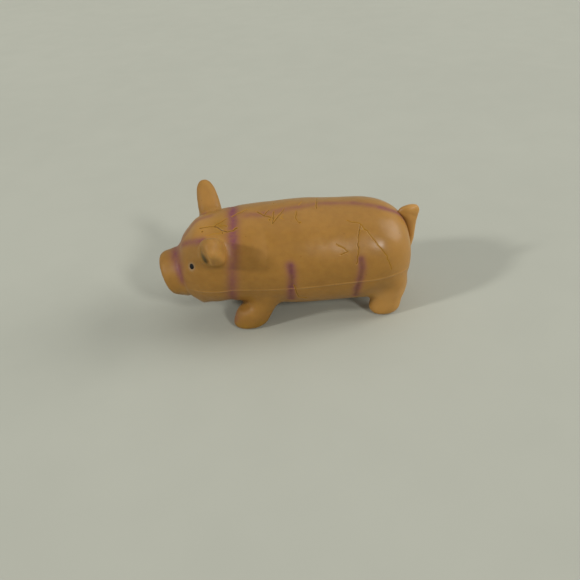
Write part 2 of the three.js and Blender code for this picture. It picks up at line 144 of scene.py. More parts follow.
# The tail's rows from its root up: place along the body, height, and half widths along and across it, and
# the line where its curled top lies on it, along and up, in millimetres
TAIL = (
    (89.6, 39, 2.2, 9),
    (91, 43.5, 3, 8.4),
    (93.4, 49, 3.6, 7),
    (95.6, 55, 3.1, 5.6),
    (96, 58.5, 3, 5),
    (95.8, 63, 3.7, 4.5),
    (95, 69, 5.1, 4.2),
    (94.1, 74, 7.1, 4.2),
    (93.4, 78, 8.9, 4.1),
    (94, 80.9, 7.6, 3.4),
    (95.7, 82.6, 4.4, 2.3),
    (96.6, 83.2, 1.5, 0.9),
)
TAIL_FOLD = ((87.5, 79), (93.3, 77.2), (98.5, 74.2))

# Airbrushed strokes: points, spread in millimetres and strength. Those of the brow and the legs are given on
# the left side, and lie on both.
BROW_STROKES = (
    (((-83, -6, 71.5), (-74.3, -15.2, 77.8), (-68.5, -19.2, 80.3), (-65, -20, 81.5)), 3, 0.9),
)
LEG_STROKES = (
    (((-3.4, -38.9, 63.4), (-2.6, -40.3, 54.7), (-3.8, -39.4, 44.4), (-4, -34.2, 31.5)), 3.5, 1.3),  # front
    ((
        (48.9, -38.1, 62.8), (49.6, -40.2, 56.2), (48.5, -40.7, 48.7), (46.3, -38.7, 37.7), (46, -33, 27),
    ), 3.2, 1),  # hind
)
MIDDLE_STROKES = (
    (((-83.6, -1, 70), (-75.1, 1.5, 80), (-69.9, 3, 85), (-58, 3, 88)), 3, 0.7),  # forehead
    ((
        (-43, -5, 89), (-23.5, -8.8, 92.1), (3.7, -4.6, 92.5), (21.7, -0.3, 91.7), (49, -0.4, 89.9),
    ), 3.5, 0.62),  # back
    (((49, -0.4, 89.9), (58.1, -3.2, 89), (68.6, -5.4, 86.7)), 3.4, 0.75),  # loins
    (((68.6, -5.4, 86.7), (78.5, -4.9, 82.7), (86, -3.5, 77.5), (91, -3, 70)), 3, 1),  # down the rump
)

# Cracks, as places along the body in millimetres and degrees round it from the spine, minus to the left,
# each with its half width in millimetres and its strength
CRACKS = (
    (((41.8, -28.5), (51.1, -34)), 0.5, 0.8),
    (((51.1, -34), (48.2, -49.4), (47, -67.4), (45.5, -76.4)), 0.55, 0.95),
    (((51.9, -34.2), (56.4, -44.5), (61.8, -57), (68.9, -71.2), (71.9, -88.2)), 0.5, 0.8),
    (((49.9, -41.5), (53.2, -39.2), (55.2, -41.5)), 0.45, 0.7),
    (((31.5, -53), (39.8, -61.9), (34.4, -64.6)), 0.5, 0.8),
    (((-1.6, -93.1), (1.9, -113.8), (7.8, -117.6)), 0.6, 0.9),
    (((-67.1, -14.6), (-56.6, -17.5), (-49, -12.9), (-45.5, -11.4)), 0.55, 0.9),
    (((-56.6, -17.5), (-46.3, -21.1)), 0.5, 0.8),
    (((-55.6, -18.6), (-50.5, -24.8), (-46.5, -27.7), (-42.1, -27.6), (-39.3, -24.7)), 0.75, 1),
    (((-62.4, -27), (-51, -28.6)), 0.4, 0.55),
    (((-42, -8.8), (-31.1, -1.5)), 0.6, 0.85),
    (((-23.3, -6.7), (-19.8, -11.9), (-13.5, -17.6)), 0.65, 1),
    (((-18.4, -13), (-16.3, -8.9), (-14.3, -6)), 0.6, 1),
    (((-10.7, -9.2), (-13, -25.1)), 0.55, 0.9),
    (((-13, -25.1), (-8.3, -17.5), (-3.1, -7.2)), 0.55, 0.9),
    (((-4.4, -14.8), (-6.2, -19.2), (-4.6, -21.9)), 0.4, 0.6),
    (((5.9, -11.7), (4.3, -21.2), (6.8, -27.2)), 0.55, 0.85),
    (((8.3, -1.6), (11.2, 6.2)), 0.4, 0.6),
    (((23.7, 15.4), (21.1, -9.5)), 0.6, 0.9),
    (((-36, 40), (-28, 47), (-30, 58)), 0.5, 0.8),
    (((4, 52), (10, 61), (7, 73)), 0.5, 0.7),
    (((10, 61), (17, 64)), 0.45, 0.6),
    (((55, 38), (62, 52), (60, 66), (66, 80)), 0.5, 0.85),
    (((62, 52), (71, 49)), 0.45, 0.6),
    (((-14, 96), (-10, 108)), 0.5, 0.6),
)

# Small holes in the latex, placed like the cracks, and their radius in millimetres
SPOTS = (
    (-14.8, -20.3), (-12.2, -18.2), (7, -27.2), (22.3, 2.3), (-10.1, 7.8), (-65.2, -20.7), (-50.2, -28.2),
)
SPOT_RADIUS = 0.8
DEGREE = 0.7  # length of a degree round the body, in millimetres
AXIS_HEIGHT = 50 * MM  # height of the line about which the degrees are counted
WANDER_SEED = 3  # fixes how the cracks wander and the eyes' paint lies

# Lines round the body: place along it at a height, in millimetres, and lean
NECK_GROOVE = (-45.3, 62, 0.125)
SNOUT_CREASE = (-86.2, 52, -0.22)

# Places on the skin, in millimetres
EYE = (-76.3, 26.3, 63.6)
EYELID = (-72, 27, 70)
NOSTRIL = (6.5, 44)  # from the middle, and up
DISC_HEIGHT = 42  # middle of the nose disc
PATCH = (24.5, 0, 10.7)
FOREHEAD, FOREHEAD_SPREAD = (-68, -4, 84), 15
HEAD_STAIN, HEAD_STAIN_SPREAD, HEAD_STAIN_STRENGTH = (-51, -12, 86.5), 6, 0.9
LEG_FOLDS = (((-25, 33, 30), 17), ((74, 33, 30), 18))  # where a leg runs into the body, and how far round it
PARTING_HEIGHT, PARTING_SLOPE = 43.9, 0.012  # the mould's parting line
EAR_SLIT = ((-7, 1.4), (-2, 12.5))  # ends of an ear's slit, across the ear and down it

# Bends of the skin: where they start and end, from a hinge or from between the flanks, and how far the part
# reaches along the body, in millimetres
SNOUT_BEND = ((-82, 0, 45), (-91, 0, 45))  # given as places
FLANK_BEND = (34.5, 47, 68)
FLANK_MIDDLE = (22, 0, 50)
FLANK_OUT, FLANK_UP = 0.978, 0.208  # direction out of a flank
LEG_BENDS = {"front": (9, 17, 28), "hind": (13, 21, 28)}
LEG_OUT, LEG_DOWN = 0.48, 0.88  # direction down a leg
EAR_BEND = (5.5, 27, 16)

# Forms of the skin: height or depth, and spread, in millimetres
NECK_DENT = (0.45, 3.4)
CREASE_DENT, MOUTH_DEPTH = (0.5, 1.8), 1.6  # the crease is deeper below the snout, by the mouth's depth
DISC_SWELL = (1.2, 11)
NOSTRIL_PIT = (2.4, 2.4)
EYE_SOCKET = (0.9, 3.6)
EYELID_SWELL = (0.6, 5)
LEG_CREASE = (0.5, 2.3)
TAIL_CREASE = (0.3, 1.3)
CHIN = ((-71.5, 4.4, 4.6), (-62, 2.2, 7), (-52, -0.8, 5))  # place along the body, drop and spread

# Where forms and marks set in, along the body, up it, along an ear or away from the patch: a start, and the
# run to their full strength, in millimetres. A run below 0 leads the other way.
OFF_PATCH = (20, 10)
BELOW_SNOUT, BELOW_JAW, MOUTH = (34, -6), (38, -12), (40, -8)
ON_DISC, BY_NOSTRILS = (-94, -4), (-92, -4)
SEAM_START, SEAM_WORN = (-82, 8), (80, 12)
EAR_START, EAR_UNDERSIDE = (6, 5), (1, 7)
SLIT_START, SLIT_DARK, SLIT_END = (4, 6), (3, 8), (30, -6)
NECK_TOP, SNOUT_TOP, SNOUT_SIDES = (72, 10), (50, 12), (41, 9)
RUBBED_BELLY, RUBBED_SNOUT, SOLES = (26, -10), (-86, -6), (12, -10)
HAUNCH, HAUNCH_FOOT, LOINS, RUMP_END = (52, 12), (36, -14), (64, 18), (90, 5)


def mm(x, y, z):
    """A point given in millimetres."""
    return Vector((x, y, z)) * MM


def hinge_point(joint):
    """Where a hinge of the frame turns."""
    return Vector(JOINTS[joint]["pos_m"])


def clamp(t):
    """A value kept between 0 and 1."""
    return min(max(t, 0.0), 1.0)


def ease(t):
    """A smooth step from 0 to 1."""
    t = clamp(t)
    return t * t * (3 - 2 * t)


def bell(distance, spread):
    """1 at no distance, falling off softly over the spread."""
    return math.exp(-((distance / spread) ** 2))


def past(value, bound):
    """How strongly a form or mark has set in at a place, given its start and run."""
    start, run = bound
    return ease((value - start * MM) / (run * MM))


def swell(form, distance):
    """Height of a form of the skin at a distance from its middle."""
    height, spread = form
    return height * MM * bell(distance, spread * MM)


def ring_x(line, z):
    """Where a line round the body lies at a height."""
    x, height, lean = line
    return x * MM + lean * (z - height * MM)


class PigSizes(bpy.types.PropertyGroup):
    """Sizes of the pig's skin and of what is on it."""

    wall: FloatProperty(name="Wall", description="Thickness of the latex", default=2 * MM, unit="LENGTH")
    grid: FloatProperty(name="Grid", description="Size of the skin's faces", default=1.2 * MM, unit="LENGTH")
    snout_edge: FloatProperty(
        name="Snout edge", description="Rounding of the nose disc's edge", default=5 * MM, unit="LENGTH")
    nose_tilt: FloatProperty(
        name="Nose tilt", description="How far the nose disc faces down", default=math.radians(15),
        subtype="ANGLE")
    rump_fullness: FloatProperty(
        name="Rump fullness", description="Exponent of the rump's end: 2 is an ellipsoid", default=2.7)
    foot_stance: FloatProperty(
        name="Foot stance", description="Middle of the body to the middle of a foot", default=21.3 * MM,
        unit="LENGTH")
    ear_length: FloatProperty(
        name="Ear length", description="Root to tip of an ear", default=34.5 * MM, unit="LENGTH")
    ear_width: FloatProperty(name="Ear width", description="Width of an ear", default=19 * MM, unit="LENGTH")
    ear_thickness: FloatProperty(
        name="Ear thickness", description="Thickness of an ear at its foot", default=19.6 * MM,
        unit="LENGTH")
    ear_rise: FloatProperty(
        name="Ear rise", description="How steeply an ear points up", default=math.radians(40),
        subtype="ANGLE")
    left_ear_rake: FloatProperty(
        name="Left ear rake", description="How far the left ear points forward", default=math.radians(-3),
        subtype="ANGLE")
    right_ear_rake: FloatProperty(
        name="Right ear rake", description="How far the right ear points forward", default=math.radians(8),
        subtype="ANGLE")
    ear_hollow: FloatProperty(
        name="Ear hollow", description="Depth of an ear's hollow", default=2.6 * MM, unit="LENGTH")
    seam_height: FloatProperty(
        name="Seam height", description="Height of the ridge that the mould left", default=0.45 * MM,
        unit="LENGTH")
    crack_depth: FloatProperty(
        name="Crack depth", description="Depth of the cracks in the latex", default=0.35 * MM, unit="LENGTH")
    eye_radius: FloatProperty(
        name="Eye radius", description="Radius of an eye", default=1.9 * MM, unit="LENGTH")
    patch_radius: FloatProperty(
        name="Patch radius", description="Radius of the belly patch", default=17 * MM, unit="LENGTH")
    vent_hole: FloatProperty(
        name="Vent hole", description="Radius of the hole in the patch", default=5.3 * MM, unit="LENGTH")


class PigColours(bpy.types.PropertyGroup):
    """Colours of the pig and its stage."""

    latex: FloatVectorProperty(
        name="Latex", description="Aged latex", default=(0.33, 0.161, 0.0285), subtype="COLOR")
    latex_deep: FloatVectorProperty(
        name="Deep latex", description="Darker patches of the latex", default=(0.28, 0.135, 0.024),
        subtype="COLOR")
    # Painted light: a lighter latex, laid where the skin should look more strongly lit.
    latex_faded: FloatVectorProperty(
        name="Faded latex", description="Latex that light has bleached", default=(0.47, 0.24, 0.058),
        subtype="COLOR")
    patch: FloatVectorProperty(
        name="Patch", description="Belly patch", default=(0.46, 0.26, 0.095), subtype="COLOR")
    airbrush: FloatVectorProperty(
        name="Airbrush", description="Purple that is sprayed along the creases", default=(0.18, 0.048, 0.07),
        subtype="COLOR")
    stain: FloatVectorProperty(
        name="Stain", description="Yellow stain on the soles and head", default=(0.27, 0.138, 0.006),
        subtype="COLOR")
    # Painted shade, with some grime, in the ears' slits.
    hollow: FloatVectorProperty(
        name="Hollow", description="Grime in the ears' hollows", default=(0.045, 0.04, 0.012),
        subtype="COLOR")
    crack_edge: FloatVectorProperty(
        name="Crack edge", description="Latex beside a crack", default=(0.41, 0.195, 0.008), subtype="COLOR")
    # Also the colour of the painted shade in the mouth's groove and the creases above the legs.
    crack_core: FloatVectorProperty(
        name="Crack core", description="Bottom of a crack", default=(0.13, 0.056, 0.005), subtype="COLOR")
    # Painted highlight: a lighter tone along the top of the seam's ridge.
    seam: FloatVectorProperty(
        name="Seam", description="Worn ridge of the mould's seam", default=(0.46, 0.26, 0.09),
        subtype="COLOR")
    eye_ring: FloatVectorProperty(
        name="Eye ring", description="Pale ring round an eye", default=(0.33, 0.27, 0.2), subtype="COLOR")
    eye: FloatVectorProperty(
        name="Eye", description="Paint of the eyes", default=(0.006, 0.006, 0.007), subtype="COLOR")
    fibre: FloatVectorProperty(
        name="Fibre", description="Filling", default=(0.75, 0.72, 0.65), subtype="COLOR")
    nylon: FloatVectorProperty(
        name="Nylon", description="Vent and squeaker plates", default=(0.68, 0.64, 0.55), subtype="COLOR")
    vinyl: FloatVectorProperty(
        name="Vinyl", description="Folding wall of the squeaker", default=(0.62, 0.58, 0.5), subtype="COLOR")
    brass: FloatVectorProperty(
        name="Brass", description="Reed", default=(0.6, 0.42, 0.16), subtype="COLOR")
    floor: FloatVectorProperty(
        name="Floor", description="Floor", default=(0.434, 0.44, 0.366), subtype="COLOR")


def between(stations, reach, column):
    """One column of the stations at a reach, on a smooth curve that never overshoots."""
    last = len(stations) - 1
    i = max(k for k in range(last) if k == 0 or stations[k][0] <= reach)

    def slope(k):
        if k in (0, last):
            return 0.0
        before = (stations[k][column] - stations[k - 1][column]) / (stations[k][0] - stations[k - 1][0])
        after = (stations[k + 1][column] - stations[k][column]) / (stations[k + 1][0] - stations[k][0])
        return 2 * before * after / (before + after) if before * after > 0 else 0.0

    run = stations[i + 1][0] - stations[i][0]
    t = clamp((reach - stations[i][0]) / run)
    rise = ease(t)
    leave = t * (1 - t) * (1 - t) * run * slope(i)
    arrive = t * t * (t - 1) * run * slope(i + 1)
    return stations[i][column] * (1 - rise) + stations[i + 1][column] * rise + leave + arrive


def section(x, sizes):
    """Centre height, half width and half height of the skin at x."""
    reach = (x - NOSE_X) / MM
    run = clamp((reach - LOIN_REACH) / (RUMP_REACH - LOIN_REACH))
    closing = (1 - run ** sizes.rump_fullness) ** (1 / sizes.rump_fullness)
    near = clamp(1 - (x - NOSE_X) / sizes.snout_edge)
    edge = sizes.snout_edge * (1 - math.sqrt(1 - near * near))
    width, height, lift = (between(STATIONS, reach, column) * MM for column in (1, 2, 3))
    return lift + height / 2, (width / 2 - edge) * closing, (height / 2 - edge) * closing


def mesh_of(name, bm):
    """A mesh in place of a bmesh."""
    mesh = bpy.data.meshes.new(name)
    bm.to_mesh(mesh)
    bm.free()
    return mesh


def bmesh_of(mesh):
    """A bmesh of a mesh."""
    bm = bmesh.new()
    bm.from_mesh(mesh)
    return bm


def stand(name, data):
    """A new object in the scene."""
    thing = bpy.data.objects.new(name, data)
    bpy.context.scene.collection.objects.link(thing)
    return thing


def ring_edges(loop):
    """The edges that join the vertices of one loop."""
    members = set(loop)
    near = [edge for vert in loop for edge in vert.link_edges if edge.other_vert(vert) in members]
    return list(dict.fromkeys(near))


def loft(bm, rings, sides, fullness=None):
    """Bridges rings, each a centre and two half axes, and closes both ends. Fullness squares the corners."""
    loops = []
    for i, (centre, u, v) in enumerate(rings):
        place = Matrix((u, v, u.cross(v).normalized())).transposed().to_4x4()
        place.translation = centre
        loop = bmesh.ops.create_circle(bm, segments=sides, radius=1)["verts"]
        for vert in loop:
            if fullness:
                vert.co *= fullness(vert.co.x, vert.co.y, i / len(rings))
            vert.co = place @ vert.co
        loops.append(loop)
    for near, far in zip(loops, loops[1:]):
        bmesh.ops.bridge_loops(bm, edges=ring_edges(near) + ring_edges(far))
    for end in (loops[0], loops[-1]):
        bmesh.ops.contextual_create(bm, geom=ring_edges(end))
    bmesh.ops.recalc_face_normals(bm, faces=bm.faces)


def body_rings(sizes):
    """Rings of the snout, head, barrel and rump, from the nose disc to the end of the rump."""
    edge_steps, head_step, barrel_step, rump_steps = 5, 3 * MM, 6 * MM, 12
    crease, neck, loins = (NOSE_X + reach * MM for reach in (CREASE_REACH, NECK_REACH, LOIN_REACH))
    quarter = math.pi / 2
    disc_half_height = STATIONS[0][2] * MM / 2
    xs = [NOSE_X + sizes.snout_edge * (1 - math.cos(quarter * i / edge_steps)) for i in range(edge_steps)]
    xs += [NOSE_X + sizes.snout_edge + head_step * i for i in range(int((neck - NOSE_X) / head_step))]
    xs = [x for x in xs if x < neck]
    barrel_count = round((loins - neck) / barrel_step)
    xs += [neck + (loins - neck) * i / barrel_count for i in range(barrel_count)]
    xs += [loins + (RUMP_X - loins) * math.sin(quarter * i / rump_steps) for i in range(rump_steps)]
    rings = []
    for x in xs:
        centre, half_width, half_height = section(x, sizes)
        lean = math.tan(sizes.nose_tilt) * clamp((crease - x) / (crease - NOSE_X))
        shift = lean * (disc_half_height - sizes.snout_edge)
        rings.append((
            Vector((x + shift, 0, centre)),
            Vector((0, half_width, 0)),
            Vector((-lean * half_height, 0, half_height)),
        ))
    return rings


def leg_rings(end, hip, side, sizes):
    """Rings of a stub leg, from its sole up into the body."""
    foot_y = side * sizes.foot_stance
    rings = []
    for height, before, behind, width in FORE_LEG if end == "front" else HIND_LEG:
        lean = min(height * MM / hip.z, 1.0)
        centre = Vector((hip.x + (behind - before) * MM / 2, foot_y + (hip.y - foot_y) * lean, height * MM))
        rings.append((centre, Vector(((behind + before) * MM / 2, 0, 0)), Vector((0, width * MM / 2, 0))))
    return rings


def ear_axes(side, sizes):
    """An ear's direction, and the directions across it, towards the tail, and through it, down and out."""
    rake = sizes.left_ear_rake if side < 0 else sizes.right_ear_rake
    along = Vector((
        -math.sin(rake),
        side * math.cos(rake) * math.cos(sizes.ear_rise),
        math.cos(rake) * math.sin(sizes.ear_rise),
    ))
    across = (Vector((1, 0, 0)) - along * along.x).normalized()
    return along, across, along.cross(across) * side


def ear_frames(sizes):
    """The root of each ear, and the ear's directions."""
    return [(hinge_point(f"{name}_ear_fold"), *ear_axes(side, sizes)) for name, side in SIDES.items()]


def ear_rings(root, side, sizes):
    """Rings of a leaf ear, from inside the head to its tip."""
    along, across, down = ear_axes(side, sizes)
    through = along.cross(across)
    steps = 12
    width_taper, thickness_taper = 0.55, 0.3  # exponents of an oval tip: less is blunter
    behind, below = 1 * MM, 2 * MM  # how far the ear's middle lies off its hinge
    rings = []
    for i in range(steps):
        turn = math.pi / 2 * i / (steps - 0.5)
        reach = sizes.ear_length * math.sin(turn)
        width = sizes.ear_width * math.cos(turn) ** width_taper
        thickness = sizes.ear_thickness * math.cos(turn) ** thickness_taper
        centre = root + along * reach + across * behind + down * below
        rings.append((centre, across * width / 2, through * thickness / 2))
    return rings


def ear_fullness(side):
    """How an ear's sections fill out: square corners, but for the lower front one, and round at the tip."""
    square, oval = 4, 2  # exponents of an outline
    tip_start, tip_run = 0.3, 0.5  # shares of the ear's length

    def fullness(across, through, share):
        lower_front = across < 0 and through * side > 0
        rounding = ease((share - tip_start) / tip_run)
        power = oval if lower_front else square - (square - oval) * rounding
        return (abs(across) ** power + abs(through) ** power) ** (-1 / power)

    return fullness


def rough_cast(sizes):
    """The skin's forms as overlapping closed shapes: body, legs and ears."""
    body_sides, limb_sides = 64, 32
    bm = bmesh.new()
    loft(bm, body_rings(sizes), body_sides)
    for name, side in SIDES.items():
        for end in ENDS:
            loft(bm, leg_rings(end, hinge_point(f"{name}_{end}_leg_swing"), side, sizes), limb_sides)
        loft(bm, ear_rings(hinge_point(f"{name}_ear_fold"), side, sizes), limb_sides, ear_fullness(side))
    return bm


def grown_together(bm, grid):
    """One even skin around overlapping closed forms, as a bmesh in place of theirs."""
    mesh = mesh_of("rough_form", bm)
    rough = stand("rough_form", mesh)
    remesh = rough.modifiers.new("Grow together", "REMESH")
    remesh.mode = "VOXEL"
    remesh.voxel_size = grid
    even = bpy.data.meshes.new_from_object(rough.evaluated_get(bpy.context.evaluated_depsgraph_get()))
    bpy.data.objects.remove(rough)
    bpy.data.meshes.remove(mesh)
    bm = bmesh_of(even)
    bpy.data.meshes.remove(even)
    return bm


def soften(bm, verts, passes):
    """Relaxes some of the skin's vertices."""
    for _ in range(passes):
        bmesh.ops.smooth_vert(bm, verts=verts, factor=0.5, use_axis_x=True, use_axis_y=True, use_axis_z=True)


def divide(bm, edges):
    """Halves some of the skin's edges, and divides the faces beside them."""
    bmesh.ops.subdivide_edges(bm, edges=edges, cuts=1, use_grid_fill=True, smooth=0)


def middle_of(edge):
    """The middle of an edge."""
    return (edge.verts[0].co + edge.verts[1].co) / 2


def push(bm, rise_of):
    """Moves the skin's vertices along their normals, each by what a function says."""
    bm.normal_update()
    moves = [vert.normal * rise_of(vert) for vert in bm.verts]
    for vert, move in zip(bm.verts, moves):
        vert.co += move


def walk(points, step):
    """Points at even steps along a path."""
    steps = []
    for near, far in zip(points, points[1:]):
        count = max(1, round((far - near).length / step))
        steps += [near.lerp(far, i / count) for i in range(count)]
    return steps + [points[-1]]


def on_right(p):
    """A point, or its mirror image where it lies on the left."""
    return Vector((p.x, abs(p.y), p.z))


def mirrored(points):
    """The same points on the pig's other side."""
    return [Vector((p.x, -p.y, p.z)) for p in points]


def tree_of(points):
    """A search tree over points."""
    tree = KDTree(len(points))
    for i, point in enumerate(points):
        tree.insert(point, i)
    tree.balance()
    return tree


def stroke_trees(strokes, both_sides=False):
    """A search tree, a spread and a strength for each airbrushed stroke."""
    step = 0.8 * MM
    trees = []
    for points, spread, strength in strokes:
        path = walk([mm(*point) for point in points], step)
        for line in (path, mirrored(path)) if both_sides else (path,):
            trees.append((tree_of(line), spread * MM, strength))
    return trees


def leg_lines():
    """Search trees over the creases above the legs."""
    return [tree for tree, *_ in stroke_trees(LEG_STROKES, both_sides=True)]


def undulation(p):
    """The slow unevenness of a casting that has aged: wide lumps and small dimples."""
    lump_size, lump_height = 24 * MM, 0.42
    dimple_size, dimple_height = 7 * MM, 0.13
    lumps = noise.noise(p / lump_size) * lump_height
    dimples = noise.noise(p / dimple_size + Vector((7, 3, 1))) * dimple_height
    return (lumps + dimples) * MM


def ear_slit(offset, across, down, spread):
    """How near a point, given from an ear's root, lies to the ear's slit, which is shallow at its top."""
    top_depth, foot_gain, deepening = 0.55, 0.45, 1.6
    place = Vector((offset.dot(across), offset.dot(down)))
    top, foot = (Vector(end) * MM for end in EAR_SLIT)
    run = foot - top
    share = clamp((place - top).dot(run) / run.length_squared)
    depth = top_depth + foot_gain * ease(share * deepening)
    return bell((place - top - run * share).length, spread) * depth


def chin_drop(x):
    """How far the chin hangs below the jaw, along the body."""
    return sum(drop * bell(x - place * MM, spread * MM) for place, drop, spread in CHIN) * MM


def sculpt(bm, sizes):
    """Grooves, folds, sockets and hollows of the skin, pressed in or raised along its normals."""
    legs = leg_lines()
    ears = ear_frames(sizes)
    start = SLIT_START[0] * MM
    slit_spread, divided_spread, least = 1.9 * MM, 2 * MM, 0.02
    chin_half_width = 22 * MM
    patch, eye, lid = mm(*PATCH), mm(*EYE), mm(*EYELID)

    def in_slit(p):
        return any(
            (p - root).dot(along) > start and ear_slit(p - root, across, down, divided_spread) > least
            for root, along, across, down in ears)

    def rise_of(vert):
        p = vert.co
        twin = on_right(p)
        rise = undulation(p) * past((p - patch).length, OFF_PATCH)
        crease_depth, crease_spread = CREASE_DENT
        crease_depth += MOUTH_DEPTH * past(p.z, BELOW_SNOUT)
        rise -= swell((crease_depth, crease_spread), p.x - ring_x(SNOUT_CREASE, p.z))
        rise -= swell(NECK_DENT, p.x - ring_x(NECK_GROOVE, p.z))
        under = bell(p.y, chin_half_width) * past(p.z, BELOW_JAW)
        rise += chin_drop(p.x) * under
        disc = Vector((0, p.y, p.z - DISC_HEIGHT * MM))
        rise += swell(DISC_SWELL, disc.length) * past(p.x, ON_DISC)
        rise -= swell(EYE_SOCKET, (twin - eye).length)
        rise += swell(EYELID_SWELL, (twin - lid).length)
        rise -= swell(LEG_CREASE, min(tree.find(p)[2] for tree in legs))
        nostril = Vector((0, twin.y - NOSTRIL[0] * MM, p.z - NOSTRIL[1] * MM))
        rise -= swell(NOSTRIL_PIT, nostril.length) * past(p.x, BY_NOSTRILS)
        for root, along, across, down in ears:
            reach = (p - root).dot(along)
            if reach > start:
                depth = sizes.ear_hollow * ear_slit(p - root, across, down, slit_spread)
                rise -= depth * past(reach, SLIT_START)
        return rise

    divide(bm, [edge for edge in bm.edges if in_slit(middle_of(edge))])
    push(bm, rise_of)
    for vert in bm.verts:
        vert.co.z = max(vert.co.z, 0.0)


def crack_lines(bm):
    """Points along the cracks on the skin, each with a half width and a strength."""
    tree = BVHTree.FromBMesh(bm)
    outside = 100 * MM  # from the axis to well beyond the skin
    step, least_steps, wander_size = 0.3, 3, 3.2  # lengths in millimetres
    narrow, least_width, more_width = 0.85, 0.75, 0.6  # shares of a crack's half width

    def on_skin(x, degrees):
        turn = math.radians(degrees)
        out = Vector((0, math.sin(turn), math.cos(turn)))
        return tree.ray_cast(Vector((x * MM, 0, AXIS_HEIGHT)) + out * outside, -out)[0]

    points = []
    for places, width, strength in CRACKS:
        for near, far in zip(places, places[1:]):
            count = least_steps + int(math.hypot(far[0] - near[0], (far[1] - near[1]) * DEGREE) / step)
            for i in range(count):
                t = i / (count - 1)
                x = near[0] + (far[0] - near[0]) * t
                turn = near[1] + (far[1] - near[1]) * t
                wander = noise.noise_vector(Vector((x, turn * DEGREE, 5)) / wander_size)
                uneven = least_width + more_width * abs(wander.z)
                place = on_skin(x + wander.x * DEGREE, turn + wander.y)
                points.append((place, narrow * width * MM * uneven, strength))
    for x, degrees in SPOTS:
        points.append((on_skin(x, degrees), SPOT_RADIUS * MM, 1.0))
    return points


def crack(bm, sizes):
    """Opens the cracks: the skin is divided finely along them and pressed in."""
    marks = bm.verts.layers.float.new("crack")
    lines = crack_lines(bm)
    tree = tree_of([point for point, *_ in lines])
    for reach in (2.0 * MM, 1.2 * MM):
        divide(bm, [edge for edge in bm.edges if tree.find(middle_of(edge))[2] < reach])

    def rise_of(vert):
        _, index, distance = tree.find(vert.co)
        _, width, strength = lines[index]
        vert[marks] = strength * bell(distance, width)
        return -sizes.crack_depth * vert[marks]

    push(bm, rise_of)


def cut(bm, faces, point, normal):
    """Cuts some of the skin's faces along a plane."""
    snap = 1e-6
    edges = dict.fromkeys(edge for face in faces for edge in face.edges)
    verts = dict.fromkeys(vert for face in faces for vert in face.verts)
    bmesh.ops.bisect_plane(
        bm, geom=faces + list(edges) + list(verts), dist=snap, plane_co=point, plane_no=normal)


def raise_seam(bm, sizes):
    """The mould's parting line: a fine ridge cut into the skin's faces and raised."""
    normal = Vector((-PARTING_SLOPE, 0, 1)).normalized()
    foot = Vector((0, 0, PARTING_HEIGHT * MM))
    half_width, cut_reach = 0.9 * MM, 4 * MM
    least, unevenness, grain_size = 0.8, 0.4, 9 * MM
    worn_away = 0.7  # share of the ridge that is lost on the rump
    for offset in (-half_width, half_width, 0.0):
        faces = [f for f in bm.faces if abs((f.calc_center_median() - foot).dot(normal)) < cut_reach]
        cut(bm, faces, foot + normal * offset, normal)
    marks = bm.verts.layers.float.new("seam")

    def rise_of(vert):
        p = vert.co
        near = max(1 - abs((p - foot).dot(normal)) / half_width, 0.0)
        if near > 0:
            fade = past(p.x, SEAM_START) * (1 - worn_away * past(p.x, SEAM_WORN))
            vert[marks] = near * fade * (least + unevenness * noise.noise(p / grain_size))
        return sizes.seam_height * vert[marks]

    push(bm, rise_of)


def flex_places(sizes):
    """Where each part of the skin starts and ends its bend, and how far the part reaches along the body."""
    anywhere = 1.0
    places = {"snout": (*(mm(*place) for place in SNOUT_BEND), anywhere)}

    def add(part, root, direction, bend):
        near, far, reach = bend
        places[part] = (root + direction * near * MM, root + direction * far * MM, reach * MM)

    for name, side in SIDES.items():
        add(f"{name}_flank", mm(*FLANK_MIDDLE), Vector((0, side * FLANK_OUT, FLANK_UP)), FLANK_BEND)
        fall = Vector((0, side * LEG_OUT, -LEG_DOWN)).normalized()
        for end in ENDS:
            add(f"{name}_{end}_leg", hinge_point(f"{name}_{end}_leg_swing"), fall, LEG_BENDS[end])
        add(f"{name}_ear", hinge_point(f"{name}_ear_fold"), ear_axes(side, sizes)[0], EAR_BEND)
    return places


def part_places(bm, sizes):
    """Cuts the skin where it starts to bend, and numbers the faces of each part."""
    numbers = bm.faces.layers.int.new("part")
    for number, (start, end, reach) in enumerate(flex_places(sizes).values(), 1):
        normal = (end - start).normalized()
        cut(bm, [f for f in bm.faces if abs(f.calc_center_median().x - start.x) < reach], start, normal)
        for face in bm.faces:
            middle = face.calc_center_median()
            if (middle - start).dot(normal) > 0 and abs(middle.x - start.x) < reach:
                face[numbers] = number


def ear_marks(p, ears):
    """How far a point is on an ear, how much painted light lies there, most on the ear's underside, and how
    deep in the ear's slit, which is painted dark as shade.
    """
    ear_reach, slit_spread = 42 * MM, 1.6 * MM
    top_painted_light, underside_painted_light = 0.15, 0.55
    on_ear = ear_painted_light = deep = 0.0
    for root, along, across, down in ears:
        offset = p - root
        reach = offset.dot(along)
        if offset.length < ear_reach:
            share = past(reach, EAR_START)
            lower = past(offset.dot(down), EAR_UNDERSIDE)
            on_ear = max(on_ear, share)
            ear_painted_light = max(ear_painted_light, share * (top_painted_light + underside_painted_light * lower))
        depth = ear_slit(offset, across, down, slit_spread) * past(reach, SLIT_DARK)
        deep = max(deep, depth * past(reach, SLIT_END))
    return on_ear, ear_painted_light, deep


